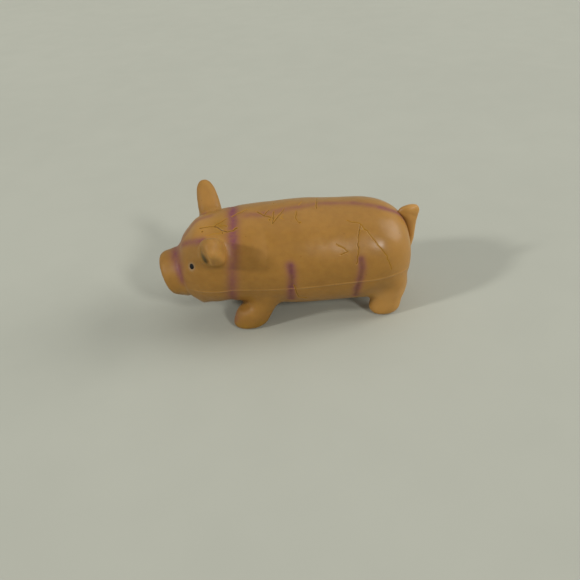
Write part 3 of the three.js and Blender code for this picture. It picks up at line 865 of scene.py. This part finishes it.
def sprayed(p, strokes, on_ear):
    """How thickly the purple lies: round the neck, behind the snout and along the strokes."""
    least, unevenness, blotch_size = 0.8, 0.35, 9 * MM
    uneven = least + unevenness * noise.noise(p / blotch_size)
    neck_strength, neck_spread = 0.85 + 0.3 * past(p.z, NECK_TOP), 4.4 * MM
    neck = neck_strength * bell(p.x - ring_x(NECK_GROOVE, p.z), neck_spread) * (1 - on_ear)
    snout_strength, snout_spread = 0.95, (2.6 + 2.4 * past(p.z, SNOUT_TOP)) * MM
    snout = snout_strength * bell(p.x - ring_x(SNOUT_CREASE, p.z), snout_spread) * past(p.z, SNOUT_SIDES)
    lines = [strength * bell(tree.find(p)[2], spread) for tree, spread, strength in strokes]
    return max(neck, snout, *lines) * uneven


def stained(p):
    """How yellow the skin is: on the soles, most on the front ones, and beside the left ear."""
    least, unevenness, blotch_size = 0.8, 0.5, 5 * MM
    uneven = least + unevenness * noise.noise(p / blotch_size + Vector((4, 4, 4)))
    front, hind = 1.0, 0.3
    soles = past(p.z, SOLES) * (front if p.x < 0 else hind)
    head = HEAD_STAIN_STRENGTH * bell((p - mm(*HEAD_STAIN)).length, HEAD_STAIN_SPREAD * MM)
    return max(soles, head) * uneven


def painted_light(p):
    """How much painted light lies on the skin: lighter latex on the hind legs, the rump and the forehead."""
    hind_share, loin_share, rump_share, forehead_share = 0.85, 0.4, 0.45, 0.55
    hind = hind_share * past(p.x, HAUNCH) * past(p.z, HAUNCH_FOOT)
    rump = loin_share * past(p.x, LOINS) + rump_share * past(p.x, RUMP_END)
    forehead = forehead_share * bell((p - mm(*FOREHEAD)).length, FOREHEAD_SPREAD * MM)
    return max(hind, rump, forehead)


# Some of these marks are painted light and painted shade: the lighter latex on lit parts, the dark lines in
# creases and the dark ears' slits.
MARKS = ("airbrush", "matte", "painted_light", "stain", "hollow", "pale", "crease_shade")


def paint(bm, sizes):
    """Where the skin is airbrushed, rubbed or stained, where it is painted lighter as painted light or
    darker as painted shade, and its normals before it is parted.
    """
    marks = {name: bm.verts.layers.float.new(name) for name in MARKS}
    normals = bm.verts.layers.float_vector.new("cast_normal")
    legs = leg_lines()
    strokes = stroke_trees(BROW_STROKES + LEG_STROKES, both_sides=True) + stroke_trees(MIDDLE_STROKES)
    ears = ear_frames(sizes)
    eye = mm(*EYE)
    rub = 0.8
    eye_ring, ring_spread = 2.7 * MM, 0.8 * MM
    mouth_spread, leg_spread = 1.2 * MM, 1.4 * MM
    bm.normal_update()
    for vert in bm.verts:
        p = vert.co
        twin = on_right(p)
        on_ear, ear_painted_light, deep = ear_marks(p, ears)
        spray = sprayed(p, strokes, on_ear)
        rubbed = max(past(p.z, RUBBED_BELLY), past(p.x, RUBBED_SNOUT))
        # Painted shade: a dark line in the mouth's groove and in the creases above the legs.
        mouth = bell(p.x - ring_x(SNOUT_CREASE, p.z), mouth_spread) * past(p.z, MOUTH)
        leg_crease_shade = bell(min(tree.find(p)[2] for tree in legs), leg_spread)
        vert[normals] = vert.normal
        vert[marks["airbrush"]] = spray
        vert[marks["matte"]] = max(on_ear, spray, rub * rubbed)
        # Painted light on the hind legs, the rump, the forehead and the ears.
        vert[marks["painted_light"]] = max(painted_light(p), ear_painted_light)
        vert[marks["stain"]] = stained(p)
        # Painted shade, with some grime, in the ears' slits.
        vert[marks["hollow"]] = deep
        vert[marks["pale"]] = bell((twin - eye).length - eye_ring, ring_spread)
        vert[marks["crease_shade"]] = max(mouth, leg_crease_shade)


class PIG_OT_cast(bpy.types.Operator):
    """Casts the whole latex skin, ages it, paints light and shade on it and marks where it flexes"""

    bl_idname = "pig.cast"
    bl_label = "Cast the skin"

    def execute(self, context):
        sizes = context.scene.pig_sizes
        noise.seed_set(WANDER_SEED)
        bm = grown_together(rough_cast(sizes), sizes.grid)
        all_passes, joint_passes, joint_reach, fold_passes = 12, 14, 19 * MM, 40
        soften(bm, bm.verts, all_passes)
        roots = [hinge_point(f"{name}_{joint}") for name in SIDES
                 for joint in ("ear_fold", "front_leg_swing", "hind_leg_swing")]
        joints = [v for v in bm.verts if min((v.co - root).length for root in roots) < joint_reach]
        soften(bm, joints, joint_passes)
        for side in SIDES.values():
            for (x, y, z), reach in LEG_FOLDS:
                fold = mm(x, side * y, z)
                soften(bm, [v for v in bm.verts if (v.co - fold).length < reach * MM], fold_passes)
        sculpt(bm, sizes)
        crack(bm, sizes)
        raise_seam(bm, sizes)
        part_places(bm, sizes)
        paint(bm, sizes)
        mesh_of(CAST, bm)
        return {"FINISHED"}


def part_of_cast(number):
    """The faces of one part of the cast, as a bmesh."""
    bm = bmesh_of(bpy.data.meshes[CAST])
    numbers = bm.faces.layers.int["part"]
    others = [face for face in bm.faces if face[numbers] != number]
    bmesh.ops.delete(bm, geom=others, context="FACES")
    return bm


RIM, OUTER, INNER = 0, 1, 2


def note_outer(bm):
    """Notes all faces as outer ones, in a new layer."""
    layers = bm.faces.layers.int.new("layer")
    for face in bm.faces:
        face[layers] = OUTER
    return layers


def give_wall(bm, wall):
    """Gives an open skin its thickness, inwards, and notes which faces are outer, inner and at the rim."""
    layers = note_outer(bm)
    normals = bm.verts.layers.float_vector["cast_normal"]
    outer = list(bm.faces)
    made = bmesh.ops.extrude_face_region(bm, geom=outer, use_keep_orig=True)["geom"]
    for item in made:
        if isinstance(item, bmesh.types.BMVert):
            item.co -= item[normals] * wall
    inner = {item for item in made if isinstance(item, bmesh.types.BMFace)}
    known = dict.fromkeys(outer, OUTER) | dict.fromkeys(inner, INNER)
    for face in bm.faces:
        face[layers] = known.get(face, RIM)
    bmesh.ops.recalc_face_normals(bm, faces=bm.faces)


def close_foot(bm):
    """Closes the flat foot of a solid part, and notes the other faces as outer."""
    layers = note_outer(bm)
    rim = [edge for edge in bm.edges if edge.is_boundary]
    for face in bmesh.ops.holes_fill(bm, edges=rim)["faces"]:
        face[layers] = RIM
    bmesh.ops.recalc_face_normals(bm, faces=bm.faces)


def skin_piece(name, bm):
    """A piece of the skin, which keeps the cast's normals, so that no cut shows."""
    layers = bm.faces.layers.int["layer"]
    normals = bm.verts.layers.float_vector["cast_normal"]
    corner_normals = []
    for face in bm.faces:
        facing = {OUTER: 1, INNER: -1, RIM: 0}[face[layers]]
        for loop in face.loops:
            corner_normals.append(loop.vert[normals] * facing if facing else face.normal.copy())
    mesh = mesh_of(name, bm)
    mesh.shade_smooth()
    mesh.normals_split_custom_set(corner_normals)
    for spare in ("cast_normal", "part", "layer"):
        mesh.attributes.remove(mesh.attributes[spare])
    mesh.materials.append(finish_for("latex"))
    return stand(name, mesh)


def feed(tree, socket, value):
    """Links a socket or sets its value."""
    if isinstance(value, bpy.types.NodeSocket):
        tree.links.new(value, socket)
    elif hasattr(value, "__len__") and socket.type == "RGBA":
        socket.default_value = (*value[:3], 1)
    else:
        socket.default_value = value


def add_node(tree, kind, **inputs):
    """Adds a node and feeds its inputs, named with underscores for spaces."""
    node = tree.nodes.new(kind)
    for name, value in inputs.items():
        feed(tree, node.inputs[name.replace("_", " ")], value)
    return node


def mix(tree, share, low, high):
    """One colour turning into another."""
    node = tree.nodes.new("ShaderNodeMix")
    node.data_type = "RGBA"
    sockets = [socket for socket in node.inputs if socket.enabled]
    for socket, value in zip(sockets, (share, low, high)):
        feed(tree, socket, value)
    return next(socket for socket in node.outputs if socket.enabled)


def calc(tree, operation, *values):
    """A sum, product or other operation on numbers."""
    node = tree.nodes.new("ShaderNodeMath")
    node.operation = operation
    for socket, value in zip(node.inputs, values):
        feed(tree, socket, value)
    return node.outputs["Value"]


def span(tree, value, low, high, start=0.0, end=1.0):
    """A value from low to high, eased from start to end."""
    node = add_node(
        tree, "ShaderNodeMapRange", Value=value, From_Min=low, From_Max=high, To_Min=start, To_Max=end)
    node.interpolation_type = "SMOOTHSTEP"
    return node.outputs["Result"]


def cloud(tree, vector, scale, detail=4.0):
    """Soft noise from 0 to 1."""
    return add_node(tree, "ShaderNodeTexNoise", Vector=vector, Scale=scale, Detail=detail).outputs["Fac"]


def mark(tree, name):
    """A value that the skin carries."""
    node = tree.nodes.new("ShaderNodeAttribute")
    node.attribute_name = name
    return node.outputs["Fac"]


def node_group(name, inputs, outputs):
    """An empty shader node group with its sockets, its input node and its output node."""
    tree = bpy.data.node_groups.new(name, "ShaderNodeTree")
    for direction, sockets in (("INPUT", inputs), ("OUTPUT", outputs)):
        for label, kind in sockets:
            tree.interface.new_socket(label, in_out=direction, socket_type=f"NodeSocket{kind}")
    return tree, tree.nodes.new("NodeGroupInput").outputs, tree.nodes.new("NodeGroupOutput").inputs


def mottle():
    """A shared group: two tones that drift into each other in large and small clouds."""
    tree, given, out = node_group(
        "mottle",
        (("Vector", "Vector"), ("Scale", "Float"), ("Light", "Color"), ("Deep", "Color")),
        (("Color", "Color"), ("Cloud", "Float")))
    finer, small_share, broad_share = 6.5, 0.45, 0.55
    broad = cloud(tree, given["Vector"], given["Scale"])
    small = cloud(tree, given["Vector"], calc(tree, "MULTIPLY", given["Scale"], finer), detail=6.0)
    both = calc(tree, "MULTIPLY_ADD", small, small_share, calc(tree, "MULTIPLY", broad, broad_share))
    share = span(tree, both, low=0.34, high=0.66)
    feed(tree, out["Color"], mix(tree, share, given["Deep"], given["Light"]))
    feed(tree, out["Cloud"], both)
    return tree


def grain():
    """A shared group: the fine unevenness of a moulded surface, as a height and as a gloss."""
    tree, given, out = node_group(
        "grain",
        (("Vector", "Vector"), ("Scale", "Float"), ("Gloss", "Float"), ("Spread", "Float")),
        (("Height", "Float"), ("Roughness", "Float")))
    finer, fine_share, slower, middle = 3.7, 0.35, 0.12, 0.5
    coarse = cloud(tree, given["Vector"], given["Scale"], detail=3.0)
    fine = cloud(tree, given["Vector"], calc(tree, "MULTIPLY", given["Scale"], finer), detail=2.0)
    feed(tree, out["Height"], calc(tree, "MULTIPLY_ADD", fine, fine_share, coarse))
    slow = cloud(tree, given["Vector"], calc(tree, "MULTIPLY", given["Scale"], slower))
    drift = calc(tree, "SUBTRACT", slow, middle)
    feed(tree, out["Roughness"], calc(tree, "MULTIPLY_ADD", drift, given["Spread"], given["Gloss"]))
    return tree


def specks():
    """A shared group: scattered dots of dirt and pores."""
    tree, given, out = node_group(
        "specks",
        (("Vector", "Vector"), ("Scale", "Float"), ("Size", "Float"), ("Share", "Float")),
        (("Mask", "Float"),))
    cells = add_node(tree, "ShaderNodeTexVoronoi", Vector=given["Vector"], Scale=given["Scale"])
    chosen = add_node(tree, "ShaderNodeSeparateColor", Color=cells.outputs["Color"]).outputs["Red"]
    picked = calc(tree, "LESS_THAN", chosen, given["Share"])
    core = calc(tree, "MULTIPLY", given["Size"], 0.4)
    dot = span(tree, cells.outputs["Distance"], low=given["Size"], high=core)
    feed(tree, out["Mask"], calc(tree, "MULTIPLY", picked, dot))
    return tree


def use_group(tree, build, **inputs):
    """Places a shared group in a material, and builds it on its first use."""
    node = tree.nodes.new("ShaderNodeGroup")
    node.node_tree = bpy.data.node_groups.get(build.__name__) or build()
    for name, value in inputs.items():
        feed(tree, node.inputs[name], value)
    return node.outputs


def new_material(name):
    """A material with nodes: its tree, its shader and its Object coordinates."""
    material = bpy.data.materials.new(name)
    material.use_nodes = True
    tree = material.node_tree
    where = tree.nodes.new("ShaderNodeTexCoord").outputs["Object"]
    return material, tree, tree.nodes["Principled BSDF"], where


def bump(tree, shader, height, strength, depth):
    """Feeds a height to the shader's normal."""
    node = add_node(tree, "ShaderNodeBump", Height=height, Strength=strength, Distance=depth)
    tree.links.new(node.outputs["Normal"], shader.inputs["Normal"])


def coat(tree, colour, over, share, strength):
    """Lays a colour over another, where a share says, and no thicker than a strength."""
    return mix(tree, calc(tree, "MULTIPLY", share, strength), colour, over)


def latex(name, light):
    """The skin's material: mottled, airbrushed along its creases, stained, cracked and specked, with painted
    light, painted shade in its creases and the ears' slits, and a painted highlight on the seam.
    """
    colours = bpy.context.scene.pig_colours
    material, tree, shader, where = new_material(name)
    tone = use_group(tree, mottle, Vector=where, Scale=32, Light=light, Deep=colours.latex_deep)
    # Painted light: lighter latex on the hind legs, the rump, the forehead and the ears.
    colour = mix(tree, mark(tree, "painted_light"), tone["Color"], colours.latex_faded)
    bloom = span(tree, cloud(tree, where, 420, detail=5.0), 0.2, 0.75, start=0.7, end=1.05)
    spray = calc(tree, "MULTIPLY", mark(tree, "airbrush"), bloom)
    colour = coat(tree, colour, colours.airbrush, spray, strength=0.95)
    blotches = span(tree, tone["Cloud"], 0.3, 0.6, start=0.35)
    stain = calc(tree, "MULTIPLY", mark(tree, "stain"), blotches)
    colour = coat(tree, colour, colours.stain, stain, strength=0.95)
    colour = coat(tree, colour, colours.eye_ring, mark(tree, "pale"), strength=0.38)
    # Painted shade, with some grime, darkens the ears' slits.
    colour = mix(tree, span(tree, mark(tree, "hollow"), 0.1, 0.95, end=0.9), colour, colours.hollow)
    # Painted shade in the mouth's groove and the creases above the legs.
    colour = coat(tree, colour, colours.crack_core, mark(tree, "crease_shade"), strength=0.5)
    # Painted highlight along the seam's ridge.
    colour = coat(tree, colour, colours.seam, mark(tree, "seam"), strength=0.45)
    colour = mix(tree, span(tree, mark(tree, "crack"), 0.01, 0.3, end=0.85), colour, colours.crack_edge)
    colour = mix(tree, span(tree, mark(tree, "crack"), 0.3, 0.75, end=0.9), colour, colours.crack_core)
    dirt = use_group(tree, specks, Vector=where, Scale=210, Size=0.13, Share=0.16)["Mask"]
    colour = coat(tree, colour, colours.crack_core, dirt, strength=0.5)
    surface = use_group(tree, grain, Vector=where, Scale=620, Gloss=0.36, Spread=0.24)
    matte_gain = 0.22
    inputs = {
        "Base Color": colour,
        "Roughness": calc(tree, "MULTIPLY_ADD", mark(tree, "matte"), matte_gain, surface["Roughness"]),
        "Subsurface Weight": 0.12,
        "Subsurface Radius": (1.0, 0.45, 0.15),
        "Subsurface Scale": 2 * MM,
        "Specular IOR Level": 0.3,
    }
    for socket, value in inputs.items():
        feed(tree, shader.inputs[socket], value)
    bump(tree, shader, surface["Height"], strength=0.16, depth=0.12 * MM)
    return material


def plain_finish(
        name, colour, deep, scale, roughness, grain_scale, grain_depth, soil=0.35, metallic=0.0, shine=0.5):
    """A finish of one material with drifting tone, fine grain and a few specks."""
    dirt_tone = 0.35
    material, tree, shader, where = new_material(name)
    dark = [channel * deep for channel in colour]
    tone = use_group(tree, mottle, Vector=where, Scale=scale, Light=colour, Deep=dark)
    dirt = use_group(tree, specks, Vector=where, Scale=grain_scale * 0.5, Size=0.12, Share=0.12)["Mask"]
    surface = use_group(tree, grain, Vector=where, Scale=grain_scale, Gloss=roughness, Spread=0.2)
    inputs = {
        "Base Color": coat(tree, tone["Color"], [channel * dirt_tone for channel in colour], dirt, soil),
        "Roughness": surface["Roughness"],
        "Metallic": metallic,
        "Specular IOR Level": shine,
    }
    for socket, value in inputs.items():
        feed(tree, shader.inputs[socket], value)
    bump(tree, shader, surface["Height"], strength=0.3, depth=grain_depth)
    return material


def finish_for(slot):
    """The material of one of the frame's slots, or of the eyes or the floor, made on its first use."""
    colours = bpy.context.scene.pig_colours
    finishes = {
        "latex": (latex, "aged_latex", dict(light=colours.latex)),
        "latex_patch": (latex, "patch_latex", dict(light=colours.patch)),
        "eye": (plain_finish, "eye_paint", dict(
            colour=colours.eye, deep=0.6, scale=300, roughness=0.5, grain_scale=900, grain_depth=0.02 * MM,
            shine=0.15)),
        "fibre": (plain_finish, "loose_fibre", dict(
            colour=colours.fibre, deep=0.72, scale=60, roughness=0.9, grain_scale=480,
            grain_depth=0.9 * MM)),
        "nylon": (plain_finish, "moulded_nylon", dict(
            colour=colours.nylon, deep=0.85, scale=90, roughness=0.42, grain_scale=1100,
            grain_depth=0.05 * MM)),
        "vinyl": (plain_finish, "soft_vinyl", dict(
            colour=colours.vinyl, deep=0.82, scale=70, roughness=0.36, grain_scale=800,
            grain_depth=0.06 * MM)),
        "brass": (plain_finish, "reed_brass", dict(
            colour=colours.brass, deep=0.7, scale=200, roughness=0.3, grain_scale=1500,
            grain_depth=0.02 * MM, metallic=1.0)),
        "floor": (plain_finish, "pale_floor", dict(
            colour=colours.floor, deep=0.965, scale=3, roughness=0.85, grain_scale=260, grain_depth=0.1 * MM,
            soil=0.0)),
    }
    make, name, looks = finishes[slot]
    return bpy.data.materials.get(name) or make(name, **looks)


def bending_piece(context, name, solid=False):
    """A part of the skin that bends between the carcass and its own body."""
    sizes = context.scene.pig_sizes
    places = flex_places(sizes)
    bm = part_of_cast(list(places).index(name) + 1)
    if solid:
        close_foot(bm)
    else:
        give_wall(bm, sizes.wall)
    piece = skin_piece(f"{name}_skin", bm)
    start, end, _ = places[name]
    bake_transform(piece, "carcass", name, start=start, end=end)
    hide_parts(name)


class PIG_OT_snout(bpy.types.Operator):
    """Parts the snout, which presses in"""

    bl_idname = "pig.snout"
    bl_label = "Part the snout"

    def execute(self, context):
        bending_piece(context, "snout")
        return {"FINISHED"}


class PIG_OT_flanks(bpy.types.Operator):
    """Parts the flanks, which give way to a squeeze"""

    bl_idname = "pig.flanks"
    bl_label = "Part the flanks"

    def execute(self, context):
        for name in SIDES:
            bending_piece(context, f"{name}_flank")
        return {"FINISHED"}


class PIG_OT_legs(bpy.types.Operator):
    """Parts the stub legs, which swing a little"""

    bl_idname = "pig.legs"
    bl_label = "Part the legs"

    def execute(self, context):
        for name in SIDES:
            for end in ENDS:
                bending_piece(context, f"{name}_{end}_leg")
        return {"FINISHED"}


class PIG_OT_ears(bpy.types.Operator):
    """Parts the solid leaf ears, which fold"""

    bl_idname = "pig.ears"
    bl_label = "Part the ears"

    def execute(self, context):
        for name in SIDES:
            bending_piece(context, f"{name}_ear", solid=True)
        return {"FINISHED"}


class PIG_OT_body(bpy.types.Operator):
    """Makes the body and head of what is left of the cast"""

    bl_idname = "pig.body"
    bl_label = "Make the body"

    def execute(self, context):
        bm = part_of_cast(0)
        give_wall(bm, context.scene.pig_sizes.wall)
        piece = skin_piece("body_skin", bm)
        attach(piece, "carcass")
        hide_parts("torso_skin", "head_skin")
        return {"FINISHED"}


def tail_rings():
    """Rings of the tail, from its root in the rump to the curl's top."""
    return [
        (mm(x, 0, z), Vector((half_depth * MM, 0, 0)), Vector((0, half_width * MM, 0)))
        for x, z, half_depth, half_width in TAIL]


def fold_tail(bm):
    """Presses in the fold under the tail's curled top."""
    tree = tree_of(walk([mm(x, 0, z) for x, z in TAIL_FOLD], step=0.4 * MM))
    push(bm, lambda vert: -swell(TAIL_CREASE, tree.find(Vector((vert.co.x, 0, vert.co.z)))[2]))


class PIG_OT_tail(bpy.types.Operator):
    """Makes the curled tail, which lifts from the rump"""

    bl_idname = "pig.tail"
    bl_label = "Make the tail"

    def execute(self, context):
        sides, grid = 28, 0.7 * MM
        bm = bmesh.new()
        loft(bm, tail_rings(), sides)
        bm = grown_together(bm, grid)
        soften(bm, bm.verts, passes=8)
        fold_tail(bm)
        note_outer(bm)
        bm.faces.layers.int.new("part")
        for name in ("crack", "seam"):
            bm.verts.layers.float.new(name)
        paint(bm, context.scene.pig_sizes)
        spray = bm.verts.layers.float["airbrush"]
        for vert in bm.verts:
            vert[spray] = 0.0
        piece = skin_piece("tail_curl", bm)
        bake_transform(piece, "carcass", "tail", start=mm(94.5, 0, 44), end=mm(97.5, 0, 69))
        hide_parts("tail")
        return {"FINISHED"}


def cast_tree():
    """A search tree over the whole cast."""
    bm = bmesh_of(bpy.data.meshes[CAST])
    tree = BVHTree.FromBMesh(bm)
    bm.free()
    return tree


def piece_of(name, bm, finish):
    """A piece on the carcass, with a finish."""
    mesh = mesh_of(name, bm)
    mesh.shade_smooth()
    mesh.materials.append(finish_for(finish))
    piece = stand(name, mesh)
    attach(piece, "carcass")
    return piece


def middle_axis(node):
    """The foot of the upright axis through a node's middle."""
    low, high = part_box(node)
    return Vector(((low.x + high.x) / 2, 0, 0))


def turned(profile, axis, steps):
    """A closed profile of radii and heights, turned about an upright axis, as a bmesh."""
    bm = bmesh.new()
    verts = [bm.verts.new(axis + Vector((radius, 0, height))) for radius, height in profile]
    edges = [bm.edges.new((near, far)) for near, far in zip(verts, verts[1:] + verts[:1])]
    bmesh.ops.spin(
        bm, geom=verts + edges, cent=axis, axis=(0, 0, 1), dvec=(0, 0, 0), angle=math.tau, steps=steps,
        use_merge=True)
    return bm


class PIG_OT_eyes(bpy.types.Operator):
    """Sets a bead of black paint on each side of the head"""

    bl_idname = "pig.eyes"
    bl_label = "Set the eyes"

    def execute(self, context):
        radius = context.scene.pig_sizes.eye_radius
        spread, height = radius * 1.2, radius * 0.36
        ripple_size, ripple = 1.6 * MM, 0.07
        noise.seed_set(WANDER_SEED)
        tree = cast_tree()
        x, y, z = EYE
        for name, side in SIDES.items():
            seat, normal = tree.find_nearest(mm(x, side * y, z))[:2]
            place = normal.to_track_quat("Z", "Y").to_matrix().to_4x4()
            place.translation = seat
            flat = Matrix.Diagonal((spread, spread, height, 1))
            bm = bmesh.new()
            bmesh.ops.create_uvsphere(bm, u_segments=40, v_segments=20, radius=1, matrix=place @ flat)
            for vert in bm.verts:
                vert.co += noise.noise_vector(vert.co / ripple_size) * ripple * MM
            eye = piece_of(f"{name}_eye", bm, "eye")
        return {"FINISHED"}


class PIG_OT_patch(bpy.types.Operator):
    """Lays the round patch on the belly"""

    bl_idname = "pig.patch"
    bl_label = "Lay the belly patch"

    def execute(self, context):
        sizes = context.scene.pig_sizes
        rings, steps, proud, sunk, edge_loss = 14, 72, 0.35 * MM, 1.2 * MM, 0.8
        width = sizes.patch_radius - sizes.vent_hole
        radii = [sizes.vent_hole + width * i / rings for i in range(rings + 1)]
        top = [(radius, proud * (1 - edge_loss * bell(i - rings, 1))) for i, radius in enumerate(radii)]
        back = [(radius, -sunk) for radius in reversed(radii)]
        bm = turned(top + back, middle_axis("belly_patch"), steps)
        tree = cast_tree()
        below = -50 * MM
        for vert in bm.verts:
            seat = tree.ray_cast(Vector((vert.co.x, vert.co.y, below)), Vector((0, 0, 1)))[0]
            vert.co.z = seat.z - vert.co.z
        bmesh.ops.recalc_face_normals(bm, faces=bm.faces)
        if bm.calc_volume(signed=True) < 0:  # so thin a dish can come out inside out
            bmesh.ops.reverse_faces(bm, faces=bm.faces)
        patch = piece_of("patch_disc", bm, "latex_patch")
        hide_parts("belly_patch")
        return {"FINISHED"}


def wad(node, name, squeezed=1.0):
    """A lumpy wad of fibre in the room of a node, which leaves the squeaker room when it is squeezed."""
    weld, grid = 0.02 * MM, 1.6 * MM
    lump_size, tuft_size, tuft_height = 6 * MM, 2.2 * MM, 0.25
    least_gap, more_gap = 0.9, 1.1  # between the fibre and the walls, in millimetres
    squeaker_room = (27, -6)
    axis = middle_axis("squeaker_crown")
    bm = bmesh_of(frame["nodes"][node].data)
    bmesh.ops.remove_doubles(bm, verts=bm.verts, dist=weld)
    bm = grown_together(bm, grid)
    soften(bm, bm.verts, passes=4)
    bm.normal_update()
    for vert in bm.verts:
        lump = 0.5 + 0.5 * noise.noise(vert.co / lump_size) + tuft_height * noise.noise(vert.co / tuft_size)
        vert.co -= vert.normal * (least_gap + more_gap * max(lump, 0.0)) * MM
        inside = past(Vector((vert.co.x - axis.x, vert.co.y, 0)).length, squeaker_room)
        vert.co.y *= 1 + (1 / squeezed - 1) * inside
    piece = piece_of(name, bm, "fibre")
    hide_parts(node)
    return piece


class PIG_OT_filling(bpy.types.Operator):
    """Stuffs the body and the head with fibre"""

    bl_idname = "pig.filling"
    bl_label = "Stuff with fibre"

    def execute(self, context):
        squeezed = 0.78
        body = wad("body_wadding", "body_fill", squeezed)
        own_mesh(body)
        wad("head_wadding", "head_fill")
        return {"FINISHED"}


class PIG_OT_bellows(bpy.types.Operator):
    """Makes the folding wall of the squeaker"""

    bl_idname = "pig.bellows"
    bl_label = "Make the bellows"

    def execute(self, context):
        low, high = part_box("squeaker_folds")
        axis = middle_axis("squeaker_folds")
        folds, fold_steps, depth, wall, steps = 4, 10, 2.6 * MM, 0.9 * MM, 64
        least = (high.x - low.x) / 2 - depth
        count = folds * fold_steps
        outer = []
        for i in range(count + 1):
            swelling = depth * (1 - math.cos(math.tau * i / fold_steps)) / 2
            outer.append((least + swelling, low.z + (high.z - low.z) * i / count))
        inner = [(radius - wall, height) for radius, height in reversed(outer)]
        bm = turned(outer + inner, axis, steps)
        bmesh.ops.recalc_face_normals(bm, faces=bm.faces)
        bellows = piece_of("bellows_wall", bm, "vinyl")
        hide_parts("squeaker_folds")
        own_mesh(bellows)
        return {"FINISHED"}


FITTINGS = {
    "nylon": ("vent_button", "squeaker_base", "reed_holder", "reed_clip"),
    "vinyl": ("squeaker_crown",),
    "brass": ("reed",),
}


class PIG_OT_fittings(bpy.types.Operator):
    """Finishes the vent, the squeaker's plates and the reed"""

    bl_idname = "pig.fittings"
    bl_label = "Finish the fittings"

    def execute(self, context):
        for slot, nodes in FITTINGS.items():
            for node in nodes:
                for place in frame["nodes"][node].material_slots:
                    place.material = finish_for(slot)
        return {"FINISHED"}


# Lamps: direction to each, its strength, and the angle that it fills, in degrees
LAMPS = {
    "key": ((-0.80, -0.31, 0.51), 1.2, 6),
    "second": ((0.45, -0.71, 0.53), 1.1, 9),
    "rim": ((0.85, 0.05, 0.52), 1.3, 30),
    "top": ((0.1, 0.25, 0.96), 0.4, 60),
}


def stand_camera(scene):
    """Stands the camera where the pig is seen from its left, from above."""
    camera = stand("camera", bpy.data.cameras.new("camera"))
    aim, distance = mm(-2.45, 0, 14.3), 513.1 * MM
    azimuth, elevation, roll = math.radians(-3.29), math.radians(35.64), math.radians(-3.93)
    back = Vector((
        math.sin(azimuth) * math.cos(elevation),
        -math.cos(azimuth) * math.cos(elevation),
        math.sin(elevation),
    ))
    turn = (-back).to_track_quat("-Z", "Y").to_matrix() @ Matrix.Rotation(roll, 3, "Z")
    camera.matrix_world = Matrix.Translation(aim + back * distance) @ turn.to_4x4()
    camera.data.sensor_width = 36
    camera.data.lens = 38.5
    scene.camera = camera


def light_from(world):
    """A soft white light all round, with a pale backdrop where the camera, gloss or glass sees it."""
    world.use_nodes = True
    tree = world.node_tree
    tree.nodes.clear()
    soft = add_node(tree, "ShaderNodeBackground", Color=(1.0, 1.0, 1.0), Strength=0.3)
    floor = bpy.context.scene.pig_colours.floor
    backdrop = add_node(tree, "ShaderNodeBackground", Color=floor, Strength=1.05)
    path = tree.nodes.new("ShaderNodeLightPath").outputs
    seen = calc(tree, "MAXIMUM", path["Is Camera Ray"], path["Is Glossy Ray"])
    seen = calc(tree, "MAXIMUM", seen, path["Is Transmission Ray"])
    both = add_node(tree, "ShaderNodeMixShader", Fac=seen)
    tree.links.new(soft.outputs["Background"], both.inputs[1])
    tree.links.new(backdrop.outputs["Background"], both.inputs[2])
    tree.links.new(both.outputs["Shader"], tree.nodes.new("ShaderNodeOutputWorld").inputs["Surface"])


class PIG_OT_stage(bpy.types.Operator):
    """Sets the floor, lights and camera"""

    bl_idname = "pig.stage"
    bl_label = "Set the stage"

    def execute(self, context):
        scene = context.scene
        bm = bmesh.new()
        bmesh.ops.create_grid(bm, x_segments=1, y_segments=1, size=4)
        floor = stand("floor", mesh_of("floor", bm))
        floor.data.materials.append(finish_for("floor"))
        stand_camera(scene)
        for name, (direction, strength, angle) in LAMPS.items():
            lamp = stand(name, bpy.data.lights.new(name, "SUN"))
            lamp.data.energy = strength
            lamp.data.angle = math.radians(angle)
            lamp.rotation_euler = Vector(direction).to_track_quat("Z", "Y").to_euler()
        scene.world = scene.world or bpy.data.worlds.new("world")
        light_from(scene.world)
        scene.view_settings.view_transform = "Standard"
        return {"FINISHED"}


OPERATORS = (
    PIG_OT_cast, PIG_OT_eyes, PIG_OT_patch, PIG_OT_snout, PIG_OT_flanks, PIG_OT_legs, PIG_OT_ears,
    PIG_OT_body, PIG_OT_tail, PIG_OT_filling, PIG_OT_bellows, PIG_OT_fittings, PIG_OT_stage)


class PIG_PT_build(bpy.types.Panel):
    """Steps that build the pig, in order"""

    bl_idname = "PIG_PT_build"
    bl_label = "Squeaky Latex Pig"
    bl_space_type = "VIEW_3D"
    bl_region_type = "UI"
    bl_category = "Pig"

    def draw(self, context):
        for operator in OPERATORS:
            self.layout.operator(operator.bl_idname)
        for group in (context.scene.pig_sizes, context.scene.pig_colours):
            for name in group.bl_rna.properties.keys():
                if name not in ("rna_type", "name"):
                    self.layout.prop(group, name)


CLASSES = (PigSizes, PigColours, *OPERATORS, PIG_PT_build)


def register():
    for cls in CLASSES:
        bpy.utils.register_class(cls)
    bpy.types.Scene.pig_sizes = PointerProperty(type=PigSizes)
    bpy.types.Scene.pig_colours = PointerProperty(type=PigColours)


def unregister():
    del bpy.types.Scene.pig_sizes
    del bpy.types.Scene.pig_colours
    for cls in reversed(CLASSES):
        bpy.utils.unregister_class(cls)


def main():
    register()
    bpy.ops.pig.cast()
    bpy.ops.pig.eyes()
    bpy.ops.pig.patch()
    bpy.ops.pig.snout()
    bpy.ops.pig.flanks()
    bpy.ops.pig.legs()
    bpy.ops.pig.ears()
    bpy.ops.pig.body()
    bpy.ops.pig.tail()
    bpy.ops.pig.filling()
    bpy.ops.pig.bellows()
    bpy.ops.pig.fittings()
    bpy.ops.pig.stage()


if __name__ == "__main__":
    main()
